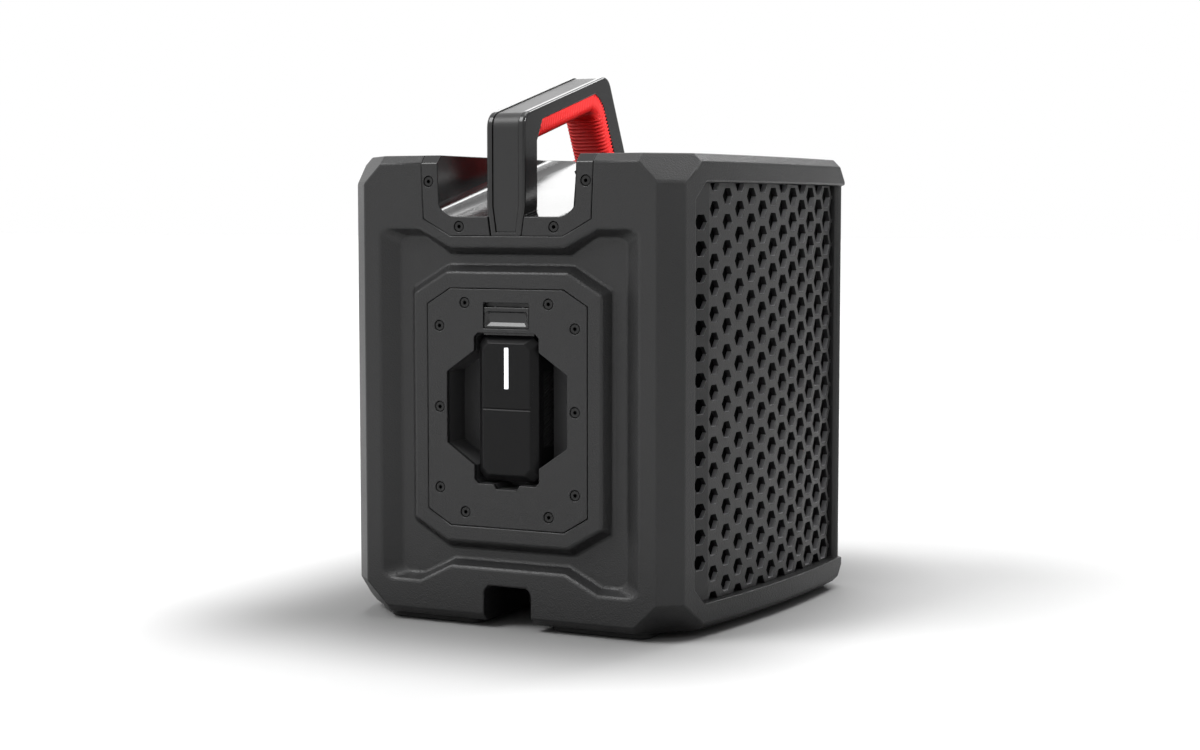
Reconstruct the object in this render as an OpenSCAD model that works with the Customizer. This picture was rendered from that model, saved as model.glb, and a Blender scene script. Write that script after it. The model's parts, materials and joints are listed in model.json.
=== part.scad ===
// Rugged battery speaker: bowed box body, carry handle in a sloping cradle,
// slide-in battery behind a screwed bezel, hexagon grilles on three sides.
// X runs from left to right, Y from the rear face with the battery to the front, and Z up from the ground.
// Modules draw with Y measured from the rear face, and placed() moves them to the middle of the body.

/* [Body] */
// Depth from the rear face to the middle of the bowed front
depth = 290; // [284:1:300]
// Height of the flat top above the ground
body_top = 340; // [336:1:350]
// Width of the flat rear face between its corner cuts
rear_w = 234; // [230:1:240]
// Greatest width, near the front
front_w = 320; // [316:1:328]
// Distance from the front back to the widest place
apex_back = 42; // [38:1:46]
// Plan depth of the rear corner cuts
corner_cut = 15; // [13:0.5:17]
// Distance from the front back to the start of the front corner cuts
front_cut = 21.5; // [20:0.5:24]
// How far the front bows out past its corners
front_bow = 8; // [6:0.5:10]
// Height of the bevel round the top edge
top_bevel = 6; // [4:0.5:8]
// Height of the bevel round the bottom edge
base_bevel = 5; // [4:0.5:6]
// Height of the facets on the top corners at the rear
facet_top = 20; // [18:1:24]
// Height of the facets on the top corners at the front
facet_front = 17; // [15:1:18]
// Height of the facets on the bottom corners
facet_base = 22; // [20:1:24]
// Height of the slanting facet under each front corner
facet_front_base = 13; // [11:1:16]
// Thickness of the floor and of the roof
deck_t = 6; // [5:0.5:8]
// Thickness of the rear wall
rear_t = 16; // [15:0.5:18]
// Depth of the side walls, from the lips to the space inside
side_wall = 20; // [19:0.5:22]

/* [Side windows and lips] */
// Height of the top lip, from the flat top to its underside
top_lip = 20; // [19:0.5:22]
// Height of the bottom lip, from the body's underside to its ledge
base_lip = 19; // [18:0.5:21]
// Width of the plain border between the rear face and the window
border_y = 27; // [25:1:30]
// Size of the cut corners of the window
window_cut = 12; // [10:1:14]
// How deep the corner posts stand behind the lips
post_recess = 2.5; // [2:0.5:4]
// Width of the corner posts, in from the widest place
post_w = 31; // [29:1:33]
// Distance from the front back to the corner posts
post_back = 25; // [24:0.5:27]

/* [Grilles] */
// Thickness of a grille panel
grille_t = 4; // [3:0.5:5]
// Recess of the side grille behind the lips, at the widest place
grille_recess = 8.5; // [8:0.5:10]
// Recess that the side grille's curve would have at the rear border
grille_recess_rear = 5; // [4.5:0.5:6]
// Distance from the rear face to the crease where the side grille turns in
crease_y = 51; // [50:0.5:53]
// Turn of the strip behind the crease
crease_a = 12; // [8:1:14]
// Recess of the flat front grille behind the front corners
front_recess = 6; // [5:0.5:8]
// Upright spacing of the holes in one column
hole_pitch_z = 18.5; // [18:0.25:20]
// Spacing of the columns
hole_pitch_y = 17.2; // [17:0.2:18]
// Distance from the rear face to the first column
first_column_y = 41; // [40:0.5:42]
// Number of columns in a side grille
side_columns = 14; // [12:1:14]
// Hole size across flats in the first column
hole_small = 10.6; // [10:0.2:11]
// Hole size across flats in the last column and on the front
hole_large = 15.8; // [14:0.2:16]
// Thickness of the cloth behind a grille
cloth_t = 0.8; // [0.6:0.1:1]

/* [Rear panel] */
// Depth of the sunken panel in the rear face
panel_depth = 9; // [8:0.5:10]
// Width of the plain border beside the sunken panel
panel_side = 13; // [12:0.5:15]
// How far the panel's side slopes run in
panel_slope = 13; // [11:1:14]
// How far the panel's upper slope runs down
panel_fall = 6.5; // [5:0.5:8]
// How far the panel's lower slope runs up
panel_rise = 5; // [4:0.5:6]
// Distance from the flat top to the panel's upper edge
panel_drop = 52; // [51:1:56]
// Height of the panel's lower edge above the ground
panel_foot = 30.5; // [29:0.5:32]
// Half width of the flat under the cradle
brow_x = 45; // [42:1:48]
// How far the brow under the cradle reaches into the panel
brow_h = 13; // [11:0.5:14]
// How far the flat of the ridge over the channel runs past the channel
ridge_side = 27; // [25:1:29]
// Run of the ridge's sloping ends
ridge_run = 26; // [24:1:28]
// How far the ridge reaches into the panel
ridge_h = 13; // [11:0.5:14]
// Width of the raised boss beside the battery's bezel
boss_side = 11.2; // [10:0.2:13]
// Height of the boss above and below the bezel
boss_end = 11.7; // [10:0.1:13]
// Width of the boss's corner cuts
boss_cut_x = 26.8; // [24:0.2:29]
// Height of the boss's corner cuts
boss_cut_z = 15.7; // [14:0.2:18]
// How far the boss's foot runs out past its top
boss_slope = 5.5; // [5:0.5:6.5]
// Width of the channel under the rear edge
channel_w = 38; // [36:1:40]
// Height of the channel above the ground
channel_h = 31; // [30:0.5:33]
// Length of the channel
channel_len = 70; // [60:1:80]
// Radius of the channel's upper corners
channel_r = 6; // [4:0.5:8]

/* [Cradle] */
// Distance from the front back to the cradle's end
cradle_back = 85; // [82:1:90]
// Depth of the cradle's floor below the flat top, at the rear face
floor_drop = 44; // [42:0.5:46]
// Half width of the cradle inside
cradle_x = 56; // [54:0.5:57]
// Width of the bevel along the floor's edges
floor_bevel_x = 9.2; // [8:0.2:10]
// Height of the bevel along the floor's edges
floor_bevel_z = 6.2; // [5:0.2:7]
// How far the side walls lean out up to the flat top
wall_lean = 1.8; // [1:0.1:2.5]
// How far the cradle's screwed flange reaches out beside it
flange_side = 13; // [12.5:0.5:14]
// How far the flange narrows down to its lower bar
flange_taper = 2; // [1:0.5:3]
// Width of the flange's lower corner cuts
flange_cut = 22; // [20:0.5:24]
// Height of the flange's lower bar
flange_bar = 13.5; // [13:0.5:14.5]
// Thickness of the flange
flange_t = 8; // [7:0.5:9]
// Wall of the cradle
cradle_t = 5; // [4:0.5:6]

/* [Handle] */
// Width of the handle
handle_w = 30.6; // [29:0.2:32]
// Depth of the rear leg
leg_d = 20; // [19:0.5:21]
// How far each side of the rear leg's foot tapers in
leg_taper = 3.1; // [2.5:0.1:3.6]
// Height of the rear leg's tapered foot
leg_foot_h = 21; // [19:0.5:24]
// Slope of the handle's bar
bar_a = 14.2; // [13.6:0.1:14.8]
// Height of the bar's top above the flat top, at the rear
bar_rise = 28; // [26:0.5:30]
// Distance from the front back to the outer top corner of the front leg
bar_back = 152; // [150:1:156]
// Lean of the front leg
leg_lean = 27.6; // [26:0.2:28.4]
// Thickness of the bar's black frame
bar_frame_t = 9.4; // [9:0.2:10]
// Thickness of the front leg's black frame
leg_frame_t = 18.5; // [17:0.5:20]
// Radius of the handle's top corner over the rear leg
nose_r = 12; // [10:0.5:14]
// Radius of the handle's top corner over the front leg
peak_r = 11; // [9:0.5:13]
// Thickness of the soft grip
grip_t = 13.2; // [12:0.2:14]
// Length of the grip's cut outer corner along the front leg
grip_cut_leg = 17; // [15:0.5:18]
// Length of the grip's cut outer corner along the bar
grip_cut_bar = 9.5; // [8:0.5:11]
// Radius of the grip's inner corner
grip_r = 9; // [7:0.5:10]
// How far the grip's slanting rear end runs along the bar
grip_slant = 8.6; // [7:0.2:10]
// Height of the frame's toe below the grip, on the front leg
toe_h = 3; // [2:0.5:4]
// Spacing of the grip's ribs
rib_pitch = 2.6; // [2.4:0.1:3.2]
// Depth of the grooves between the ribs
rib_d = 0.9; // [0.6:0.1:1.1]
// Width of the rails beside the inlay
rail_w = 4.8; // [4:0.2:5.4]
// Thickness of the inlay
inlay_t = 2; // [1.6:0.1:2.4]
// How deep the inlay lies between the rails
inlay_sink = 0.8; // [0.5:0.1:1.2]
// Height of the rail under the inlay, on both legs
inlay_foot = 2.4; // [2:0.2:2.6]

/* [Battery bay] */
// Half width of the bezel
bezel_x = 64; // [63:0.5:65]
// Height of the bezel above the latch window
bezel_end = 9.7; // [9:0.1:11]
// Width of the bezel's corner cuts
bezel_cut_x = 18.6; // [17:0.2:20]
// Height of the bezel's corner cuts
bezel_cut_z = 11.3; // [10:0.1:12]
// Thickness of the bezel
bezel_t = 4; // [3.5:0.5:5]
// Thickness of the battery bay's flange and walls
bay_t = 3; // [2.5:0.5:3.5]
// Width of the bezel beside the finger wells
well_side = 15.7; // [15:0.1:17]
// Distance from the ends of the battery's slot to the finger wells
well_end = 10.6; // [9:0.2:12]
// How far each edge of a finger well slopes in towards its outer end
well_taper = 16.3; // [14:0.1:18]
// Depth of the finger wells
well_d = 26; // [24:0.5:28]
// Width of the notch under the battery
notch_w = 16.8; // [15:0.2:18]
// Height of the notch under the battery
notch_h = 5; // [4.5:0.5:5.5]
// Width of the latch window
latch_w = 36.8; // [35:0.2:38]
// Height of the latch window
latch_h = 18.4; // [18:0.2:19]
// How far the bezel's mouth stands outside the battery's slot at its ends
mouth_grow = 1.6; // [1.4:0.1:1.8]
// How far the bezel's mouth stands outside the battery's slot at its sides
mouth_side = 1.2; // [0.8:0.1:1.6]
// Height of the bar between the battery's mouth and the latch window
latch_bar = 3.2; // [3:0.1:4]
// Travel of the latch
latch_travel = 3; // [2.6:0.1:3.2]

/* [Battery] */
// Diameter of a cell
cell_d = 18.4; // [18:0.1:18.6]
// Length of a cell
cell_len = 65; // [64:0.5:66]
// Room between two cells
cell_gap = 0.6; // [0.4:0.05:0.8]
// Room beside the cells inside the case
cell_side = 3.2; // [3:0.1:3.6]
// Room above and below the cells
cell_end = 2.5; // [2.2:0.1:2.8]
// Room in front of the cells
cell_front = 6; // [5:0.5:7]
// Room behind the cells, for the board and the contacts
contact_room = 19; // [18:0.5:22]
// Clearance between battery and bay on each side
pack_gap = 0.6; // [0.5:0.1:0.8]
// Size of the battery's corner cuts
pack_cut = 4.5; // [4:0.25:5]
// Wall of the battery's case
case_t = 2; // [1.6:0.1:2.4]
// Depth of the battery's bevelled front cap
cap_d = 8; // [7:0.5:9]
// Width of the bevels round the battery's front
cap_bevel = 5.2; // [4:0.2:6]
// Width of the charge light
light_w = 3.2; // [2.8:0.1:3.6]
// Height of the charge light
light_h = 29.4; // [28:0.2:31]
// Distance from the battery's middle up to the charge light
light_rise = 14.6; // [13:0.2:16]

/* [Drivers] */
// Thickness of the front baffle
baffle_t = 8; // [7:0.5:9]
// Diameter of the woofer's cone
cone_d = 134; // [132:1:136]
// Width of the woofer's surround
surround_w = 12; // [11:0.5:13]
// Width of the woofer's flange outside its surround
woofer_rim = 16; // [15:0.5:17]
// Diameter of the woofer's magnet
magnet_d = 104; // [100:1:108]
// Length of the woofer's magnet
magnet_len = 32; // [28:1:36]
// Depth of the woofer's basket behind the baffle
basket_d = 52; // [48:1:56]
// Diameter of the tweeters' face plates
tweeter_d = 50; // [48:1:52]
// Distance from the side of the window to a tweeter's axis
tweeter_side = 52; // [48:1:56]
// Diameter of the windows for the passive radiators
radiator_d = 152; // [148:1:156]

/* [Controls and feet] */
// Room at the control panel's ends, beyond the buttons' spacing
control_end = 7.5; // [7:0.5:9]
// Room before and behind the buttons
control_side = 12; // [11:0.5:13]
// Distance between the cradle and the control panel
control_gap = 10; // [9:0.5:12]
// Thickness of the control panel
control_t = 3; // [2.5:0.5:3.5]
// Diameter of a button
button_d = 18; // [17:0.5:19]
// Spacing of the buttons
button_pitch = 27; // [26:0.5:28]
// Height of a button above the panel
button_rise = 1.6; // [1.4:0.1:2]
// Travel of a button
button_travel = 1.2; // [1:0.1:1.3]
// Height of the feet, from the ground to the body
foot_h = 5; // [4.5:0.5:6]
// Distance between the channel and the rear feet
foot_gap = 10; // [8:0.5:12]
// Width of the front feet
front_foot_w = 78; // [72:1:84]
// Depth of the feet
foot_d = 40; // [36:1:42]

/* [Fasteners and fits] */
// Diameter of a screw's head
head_d = 7.2; // [6.8:0.2:7.6]
// Height of a screw's head
head_h = 2.2; // [2:0.1:2.4]
// Diameter of a screw's shank
shank_d = 3.4; // [3:0.1:3.6]
// Depth of a screw's head below the face
head_sink = 0.5; // [0.3:0.1:0.8]
// Diameter of a handle bolt's shank
bolt_d = 6; // [5:0.5:6]
// Width of the seam between outer pieces
seam = 0.3; // [0.2:0.05:0.4]
// Running clearance of moving pieces
gap = 0.4; // [0.3:0.05:0.5]

/* [Hidden] */
$fn = 64;

// Colours
charcoal = "#3d3d3f";
dark = "#262628";
black = "#161617";
red = "#e8202a";
metal = "#8c8c90";
board = "#1f4a33";

// Reach of cutting bodies, a small overlap for clean cuts, and a thin slice for sloping forms
reach = 800;
lap = 0.5;
slice = 0.01;
// Facets of the wide arcs and steps of a rounded corner
fine = 360;
corner_steps = 6;

// Places along the depth, and arcs of the body in plan
apex_y = depth - apex_back;
front_corner_y = depth - front_cut;
post_y = depth - post_back;
post_x = front_w / 2 - post_w;
side_rise = front_w / 2 - rear_w / 2 - corner_cut;
side_run = apex_y - corner_cut;
side_r = (side_run * side_run + side_rise * side_rise) / (2 * side_rise);
front_edge_y = depth - front_bow;
front_half = front_w / 2 + front_corner_y - front_edge_y;
front_r = (front_half * front_half + front_bow * front_bow) / (2 * front_bow);
function lip_x(y) = front_w / 2 - side_r + sqrt(side_r * side_r - (apex_y - y) * (apex_y - y));

// Lips, and the arcs and creases of the side grilles
lip_z = body_top - top_lip;
ledge_z = foot_h + base_lip;
grille_h = lip_z - ledge_z;
grille_apex = front_w / 2 - grille_recess;
grille_rise = grille_apex - (lip_x(border_y) - grille_recess_rear);
grille_run = apex_y - border_y;
grille_r = (grille_run * grille_run + grille_rise * grille_rise) / (2 * grille_rise);
function grille_a(y) = asin((apex_y - y) / grille_r);
crease_x = grille_apex - grille_r * (1 - cos(grille_a(crease_y)));
strip_a = grille_a(crease_y) + crease_a;
cloth_back = grille_t + cloth_t + 2 * seam;
front_grille_y = front_edge_y - front_recess;
core_front = front_grille_y - cloth_back;

// Space inside: the flat side walls lean out towards the front
front_wall = 10;
cavity_front = core_front - front_wall;
cavity_rear_y = 2 * rear_t;
cavity_rear_x = lip_x(cavity_rear_y) - side_wall;
cavity_front_x = front_w / 2 - side_wall;
side_lean = atan((cavity_front_x - cavity_rear_x) / (cavity_front - cavity_rear_y));
inner_floor = foot_h + deck_t;

// Rear panel
panel_x = rear_w / 2 - panel_side;
panel_top = body_top - panel_drop;
bay_z = (panel_top - brow_h + panel_foot + ridge_h) / 2;

// Handle cradle
floor_z = body_top - floor_drop;
cradle_end = 10;
cradle_len = depth - cradle_back;
ramp_a = atan(floor_drop / (cradle_len - cradle_end));
flange_x = cradle_x + flange_side;
function ramp_z(y) = floor_z + y * tan(ramp_a);
flange_z = floor_z - flange_bar;
flange_knee_z = floor_z - 1.3;
tub_drop = cradle_t / cos(ramp_a);
floor_bevel_a = atan(floor_bevel_z / floor_bevel_x);

// Handle outline in Y and Z; each line of it can be taken some distance inside the outer one
bar_z = body_top + bar_rise;
bar_len = depth - bar_back;
leg_foot_w = handle_w - 2 * leg_taper;
grip_off = bar_frame_t + grip_t;
leg_off = leg_frame_t + grip_t;
function bar_top(y) = bar_z + y * tan(bar_a);
function bar_under(y, off) = bar_top(y) - off / cos(bar_a);
bar_peak = bar_top(bar_len);
function lean_y(z, off) = bar_len + (bar_peak - z) * tan(leg_lean) - off / cos(leg_lean);
function leg_point(z, off) = [lean_y(z, off), z];
// Where the bar's line meets the front leg's line
function corner_y(bar_off, leg_in) =
    (lean_y(bar_z, leg_in) + bar_off / cos(bar_a) * tan(leg_lean)) / (1 + tan(bar_a) * tan(leg_lean));
function corner_at(bar_off, leg_in) =
    let (y = corner_y(bar_off, leg_in)) [y, bar_under(y, bar_off)];
// Where the front leg's line meets the ramp
function foot_y(off) = lean_y(floor_z, off) / (1 + tan(ramp_a) * tan(leg_lean));
function foot_at(off) = [foot_y(off), ramp_z(foot_y(off))];
function toe_at(off) = leg_point(ramp_z(foot_y(off)) + toe_h, off);
grip_rear_low = [leg_d, bar_under(leg_d, grip_off)];
grip_rear_top = [leg_d + grip_slant, bar_under(leg_d + grip_slant, bar_frame_t)];

// Battery: its size follows from two rows of cells
CELLS_ACROSS = 2;
CELLS_UP = 5;
cell_pitch = cell_d + cell_gap;
cell_y = cap_d + case_t + cell_front;
pack_w = CELLS_ACROSS * cell_pitch + 2 * (case_t + cell_side);
pack_h = CELLS_UP * cell_pitch + 2 * (case_t + cell_end);
pack_len = cell_y + cell_len + contact_room;

// Battery bay
flange_back = bezel_t + bay_t;
slot_x = pack_w / 2 + pack_gap;
slot_h = pack_h + 2 * pack_gap;
dock_gap = 2;
slot_end = pack_len + dock_gap;
bay_high = slot_h / 2 + bay_t;
bay_low = slot_h / 2 + notch_h + 1;
well_x = bezel_x - well_side;
well_mouth = slot_h - 2 * well_end;
well_h = well_mouth - 2 * well_taper;
latch_drop = slot_h / 2 + mouth_grow + latch_bar;
latch_z = bay_z + latch_drop;
bezel_z = latch_drop + latch_h + bezel_end;
boss_x = bezel_x + boss_side;
boss_z = bezel_z + boss_end;
latch_top = latch_z + latch_h - latch_travel - seam;

// Drivers
window_x = post_x - 12;
window_low = ledge_z + 14;
window_high = lip_z - 12;
baffle_y = cavity_front - baffle_t;
woofer_face = cavity_front + 3;
driver_gap = 2;
surround_d = cone_d + 2 * surround_w;
woofer_d = surround_d + 2 * woofer_rim;
driver_stack = woofer_d + driver_gap + tweeter_d;
woofer_z = (window_low + window_high - driver_stack + woofer_d) / 2;
tweeter_z = woofer_z + woofer_d / 2 + driver_gap + tweeter_d / 2;
tweeter_x = window_x - tweeter_side;
radiator_y = (cavity_rear_y + baffle_y) / 2;
radiator_x = cavity_rear_x + (radiator_y - cavity_rear_y) * tan(side_lean);
radiator_z = (ledge_z + lip_z) / 2;

// Controls
BUTTONS = 5;
board_t = 1.6;
control_w = BUTTONS * button_pitch + 2 * control_end;
control_d = button_d + 2 * control_side;
control_y = cradle_len + control_gap + control_d / 2;
panel_z = body_top - control_t;
board_z = panel_z - 9;

// Points of a rounded corner at b, between the lines to a and to c
function unit(v) = v / norm(v);
function angle_of(v) = atan2(v[1], v[0]);
function rounded(a, b, c, r) =
    let (u = unit(a - b), v = unit(c - b), half = acos(u * v) / 2)
    let (mid = b + unit(u + v) * r / sin(half))
    let (from = angle_of(b + u * r / tan(half) - mid), to = angle_of(b + v * r / tan(half) - mid))
    let (turn = (to - from + 540) % 360 - 180)
    [for (i = [0 : corner_steps]) let (t = from + turn * i / corner_steps) mid + r * [cos(t), sin(t)]];
// Points from the line b-a to the line b-c: tangent to the first, with a corner on the second
bend_share = 0.45;
function cut_corner(a, b, c, from_a, from_c) =
    let (p = b + unit(a - b) * from_a, m = b + unit(a - b) * from_a * bend_share)
    let (q = b + unit(c - b) * from_c)
    [for (i = [0 : corner_steps])
        let (t = i / corner_steps) (1 - t) * (1 - t) * p + 2 * t * (1 - t) * m + t * t * q];
function reversed(p) = [for (i = [len(p) - 1 : -1 : 0]) p[i]];

// Shared shapes
module placed() translate([0, -depth / 2, 0]) children();
module along_y(len, from = 0)
    translate([0, from, 0]) rotate([90, 0, 0]) mirror([0, 0, 1]) linear_extrude(len) children();
module across(len) translate([-len / 2, 0, 0]) rotate([90, 0, 90]) linear_extrude(len) children();
module pair() {
    children();
    mirror([1, 0, 0]) children();
}
module block(x, y0, y1, z0, z1) translate([-x, y0, z0]) cube([2 * x, y1 - y0, z1 - z0]);
module octagon(half_x, half_z, cut_x, cut_z)
    translate([0, bay_z])
        polygon([
            [half_x, half_z - cut_z], [half_x - cut_x, half_z],
            [cut_x - half_x, half_z], [-half_x, half_z - cut_z],
            [-half_x, cut_z - half_z], [cut_x - half_x, -half_z],
            [half_x - cut_x, -half_z], [half_x, cut_z - half_z]
        ]);
module screw(len) {
    rotate([-90, 0, 0]) cylinder(d = head_d, h = head_h);
    translate([0, head_h, 0]) rotate([-90, 0, 0]) cylinder(d = shank_d, h = len);
}
module screw_hole(len) {
    translate([0, -1, 0]) rotate([-90, 0, 0]) cylinder(d = head_d + 2 * seam, h = head_h + 1);
    rotate([-90, 0, 0]) cylinder(d = shank_d + seam, h = len + head_h + lap);
}

// Body block: round rims on the sides and front, a flat rear, cut corners with facets
module rim(r)
    rotate_extrude($fn = fine)
        polygon([
            [0, foot_h], [r - base_bevel, foot_h], [r, foot_h + base_bevel],
            [r, body_top - top_bevel], [r - top_bevel, body_top], [0, body_top]
        ]);
module corner(turn, s, facet, base)
    rotate([0, 0, turn]) rotate([90, 0, 0])
        linear_extrude(2 * reach, center = true)
            polygon([
                [-reach, foot_h], [s - base / sqrt(2), foot_h], [s, foot_h + base],
                [s, body_top - facet], [s - facet / sqrt(2), body_top], [-reach, body_top]
            ]);
module body_block(inset = 0) {
    rear_s = rear_w / 2 / sqrt(2) - inset;
    front_s = (front_w / 2 + front_corner_y) / sqrt(2) - inset;
    intersection() {
        translate([front_w / 2 - side_r, apex_y, 0]) rim(side_r - inset);
        translate([side_r - front_w / 2, apex_y, 0]) rim(side_r - inset);
        translate([0, depth - front_r, 0]) rim(front_r - inset);
        across(reach) polygon([
            [inset + base_bevel, foot_h], [reach, foot_h], [reach, body_top],
            [inset + top_bevel, body_top], [inset, body_top - top_bevel], [inset, foot_h + base_bevel]
        ]);
        corner(-45, rear_s, facet_top, facet_base);
        mirror([1, 0, 0]) corner(-45, rear_s, facet_top, facet_base);
        corner(45, front_s, facet_front, facet_front_base);
        mirror([1, 0, 0]) corner(45, front_s, facet_front, facet_front_base);
    }
}

// What lies behind the right grille's face: the curve, and the flat strip behind the crease
module behind_grille(back, z0, z1)
    intersection() {
        translate([grille_apex - grille_r, apex_y, z0])
            cylinder(r = grille_r - back, h = z1 - z0, $fn = fine);
        translate([crease_x, crease_y, z0]) rotate([0, 0, -strip_a])
            translate([-reach - back, -reach, 0]) cube([reach, 2 * reach, z1 - z0]);
    }
module window_outline(side, level) {
    low = ledge_z + level;
    high = lip_z - level;
    polygon([
        [border_y + side, ledge_z + window_cut], [border_y + window_cut, low], [reach, low],
        [reach, high], [border_y + window_cut, high], [border_y + side, lip_z - window_cut]
    ]);
}
module belt_cut()
    difference() {
        across(reach) window_outline(0, 0);
        intersection() {
            behind_grille(cloth_back, ledge_z - lap, lip_z + lap);
            mirror([1, 0, 0]) behind_grille(cloth_back, ledge_z - lap, lip_z + lap);
            block(reach, 0, core_front, 0, reach);
        }
        intersection() {
            body_block(post_recess);
            pair() translate([post_x, post_y, 0]) cube(reach);
        }
    }

// Space inside the body, clear of the cradle, its flange and the channel
module cavity()
    difference() {
        translate([0, 0, inner_floor]) linear_extrude(body_top - deck_t - inner_floor)
            polygon([
                [rear_t - cavity_rear_x, rear_t], [cavity_rear_x - rear_t, rear_t],
                [cavity_rear_x, cavity_rear_y], [cavity_front_x, cavity_front],
                [-cavity_front_x, cavity_front], [-cavity_rear_x, cavity_rear_y]
            ]);
        tub(cradle_t + deck_t, deck_t);
        block(flange_x + deck_t, 0, flange_t + deck_t + rear_t, flange_z - deck_t, body_top);
        block(channel_w / 2 + deck_t, 0, channel_len + deck_t, 0, channel_h + deck_t);
    }

// Sunken rear panel with sloping sides, the brow under the cradle and the ridge over the channel
module panel_face(side, fall, rise)
    translate([side - panel_x, panel_foot + rise])
        square([2 * (panel_x - side), panel_top - fall - panel_foot - rise]);
module brow(run) {
    x = flange_x + 3 + run;
    z = panel_top - brow_h - run;
    polygon([
        [-x, panel_top + lap], [x, panel_top + lap], [x, panel_top],
        [brow_x + run / 2, z], [-brow_x - run / 2, z], [-x, panel_top]
    ]);
}
module ridge(run) {
    flat_x = channel_w / 2 + ridge_side;
    end_x = flat_x + ridge_run;
    low = panel_foot + run;
    high = low + ridge_h;
    polygon([
        [-end_x, panel_foot - lap], [end_x, panel_foot - lap], [end_x, low],
        [flat_x, high], [-flat_x, high], [-end_x, low]
    ]);
}
module panel_sink()
    difference() {
        hull() {
            along_y(slice, -slice) panel_face(0, 0, 0);
            along_y(slice, panel_depth - slice) panel_face(panel_slope, panel_fall, panel_rise);
        }
        hull() {
            along_y(slice, -2 * slice) brow(0);
            along_y(slice, panel_depth + slice) brow(panel_fall);
        }
        hull() {
            along_y(slice, -2 * slice) ridge(0);
            along_y(slice, panel_depth + slice) ridge(panel_rise);
        }
    }
boss_spread = 1.12;
module boss()
    hull() {
        along_y(slice) octagon(boss_x, boss_z, boss_cut_x, boss_cut_z);
        along_y(slice, panel_depth + lap)
            octagon(boss_x + boss_slope, boss_z + boss_slope,
                    boss_cut_x * boss_spread, boss_cut_z * boss_spread);
    }

// Cradle trough along the ramp, grown by a wall, and the flange at the rear face
module trough(wall) {
    foot_x = cradle_x - wall_lean - floor_bevel_x + wall * tan(floor_bevel_a / 2);
    knee_x = cradle_x - wall_lean + wall;
    knee_z = floor_bevel_z - wall * tan(45 - floor_bevel_a / 2);
    top_x = knee_x + wall_lean * reach / floor_drop;
    polygon([
        [top_x, reach], [knee_x, knee_z], [foot_x, -wall],
        [-foot_x, -wall], [-knee_x, knee_z], [-top_x, reach]
    ]);
}
module on_ramp() translate([0, 0, floor_z]) rotate([ramp_a, 0, 0]) along_y(reach, -reach / 2) children();
module tub(wall, end)
    intersection() {
        on_ramp() trough(wall);
        block(reach, 0, cradle_len + end, 0, body_top);
    }
module flange_outline(grow, top) {
    x = flange_x + grow;
    polygon([
        [x, top], [x - flange_taper, flange_knee_z], [flange_x - flange_taper - flange_cut, flange_z],
        [flange_cut + flange_taper - flange_x, flange_z], [flange_taper - x, flange_knee_z], [-x, top]
    ]);
}
module cradle_seat() {
    along_y(flange_t + 1, -1) flange_outline(seam, body_top + 1);
    intersection() {
        on_ramp() trough(cradle_t + seam);
        block(reach, -1, cradle_len + seam, 0, reach);
    }
}
cradle_screw_len = 14;
cradle_screw_side = 6.1;
cradle_screw_drop = 18.8;
cradle_screw_in = 31.1;
cradle_screw_rise = 6.5;
CRADLE_SCREWS = [
    [flange_x - cradle_screw_side, body_top - cradle_screw_drop],
    [flange_x - cradle_screw_in, flange_z + cradle_screw_rise]
];
module at_cradle_screws() pair() for (s = CRADLE_SCREWS) translate([s[0], head_sink, s[1]]) children();
bezel_screw_len = 9;
bezel_screw_in = 30.4;
bezel_screw_end = 10;
bezel_screw_side = 9.6;
bezel_screw_drop = 26.9;
BEZEL_SCREWS = [
    [bezel_x - bezel_screw_in, bezel_z - bezel_screw_end],
    [bezel_x - bezel_screw_side, bezel_z - bezel_screw_drop],
    [bezel_x - bezel_screw_side, 0],
    [bezel_x - bezel_screw_side, bezel_screw_drop - bezel_z],
    [bezel_x - bezel_screw_in, bezel_screw_end - bezel_z]
];
module at_bezel_screws() pair() for (s = BEZEL_SCREWS) translate([s[0], head_sink, bay_z + s[1]]) children();

module body_shell()
    color(charcoal) placed() difference() {
        union() {
            difference() {
                body_block();
                belt_cut();
                cavity();
                panel_sink();
            }
            boss();
        }
        along_y(flange_back + 1, -1) octagon(bezel_x + seam, bezel_z + seam, bezel_cut_x, bezel_cut_z);
        block(well_x + bay_t + seam, 0, rear_t + 1, bay_z - bay_low - seam, bay_z + bay_high + seam);
        cradle_seat();
        channel();
        block(window_x, cavity_front - 1, core_front + 1, window_low, window_high);
        pair() at_side() translate([0, 0, -1]) cylinder(d = radiator_d, h = reach / 8);
        control_seat();
        at_cradle_screws() screw_hole(cradle_screw_len);
        at_bezel_screws() screw_hole(bezel_screw_len);
        bolt_holes();
        at_foot_screws() screw_hole(foot_screw_len);
    }
module channel()
    along_y(channel_len + 1, -1) {
        translate([-channel_w / 2, -1]) square([channel_w, channel_h + 1 - channel_r]);
        translate([channel_r - channel_w / 2, -1]) square([channel_w - 2 * channel_r, channel_h + 1]);
        for (s = [-1, 1])
            translate([s * (channel_w / 2 - channel_r), channel_h - channel_r]) circle(channel_r);
    }
module at_side()
    translate([radiator_x, radiator_y, radiator_z]) rotate([0, 0, -side_lean]) rotate([0, 90, 0]) children();
control_ledge = 5;
module control_seat() {
    x = control_w / 2;
    y = control_d / 2;
    translate([0, control_y, 0]) {
        block(x + seam, -y - seam, y + seam, panel_z, reach);
        block(x - control_ledge, control_ledge - y, y - control_ledge, panel_z - deck_t, reach);
    }
}

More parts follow.
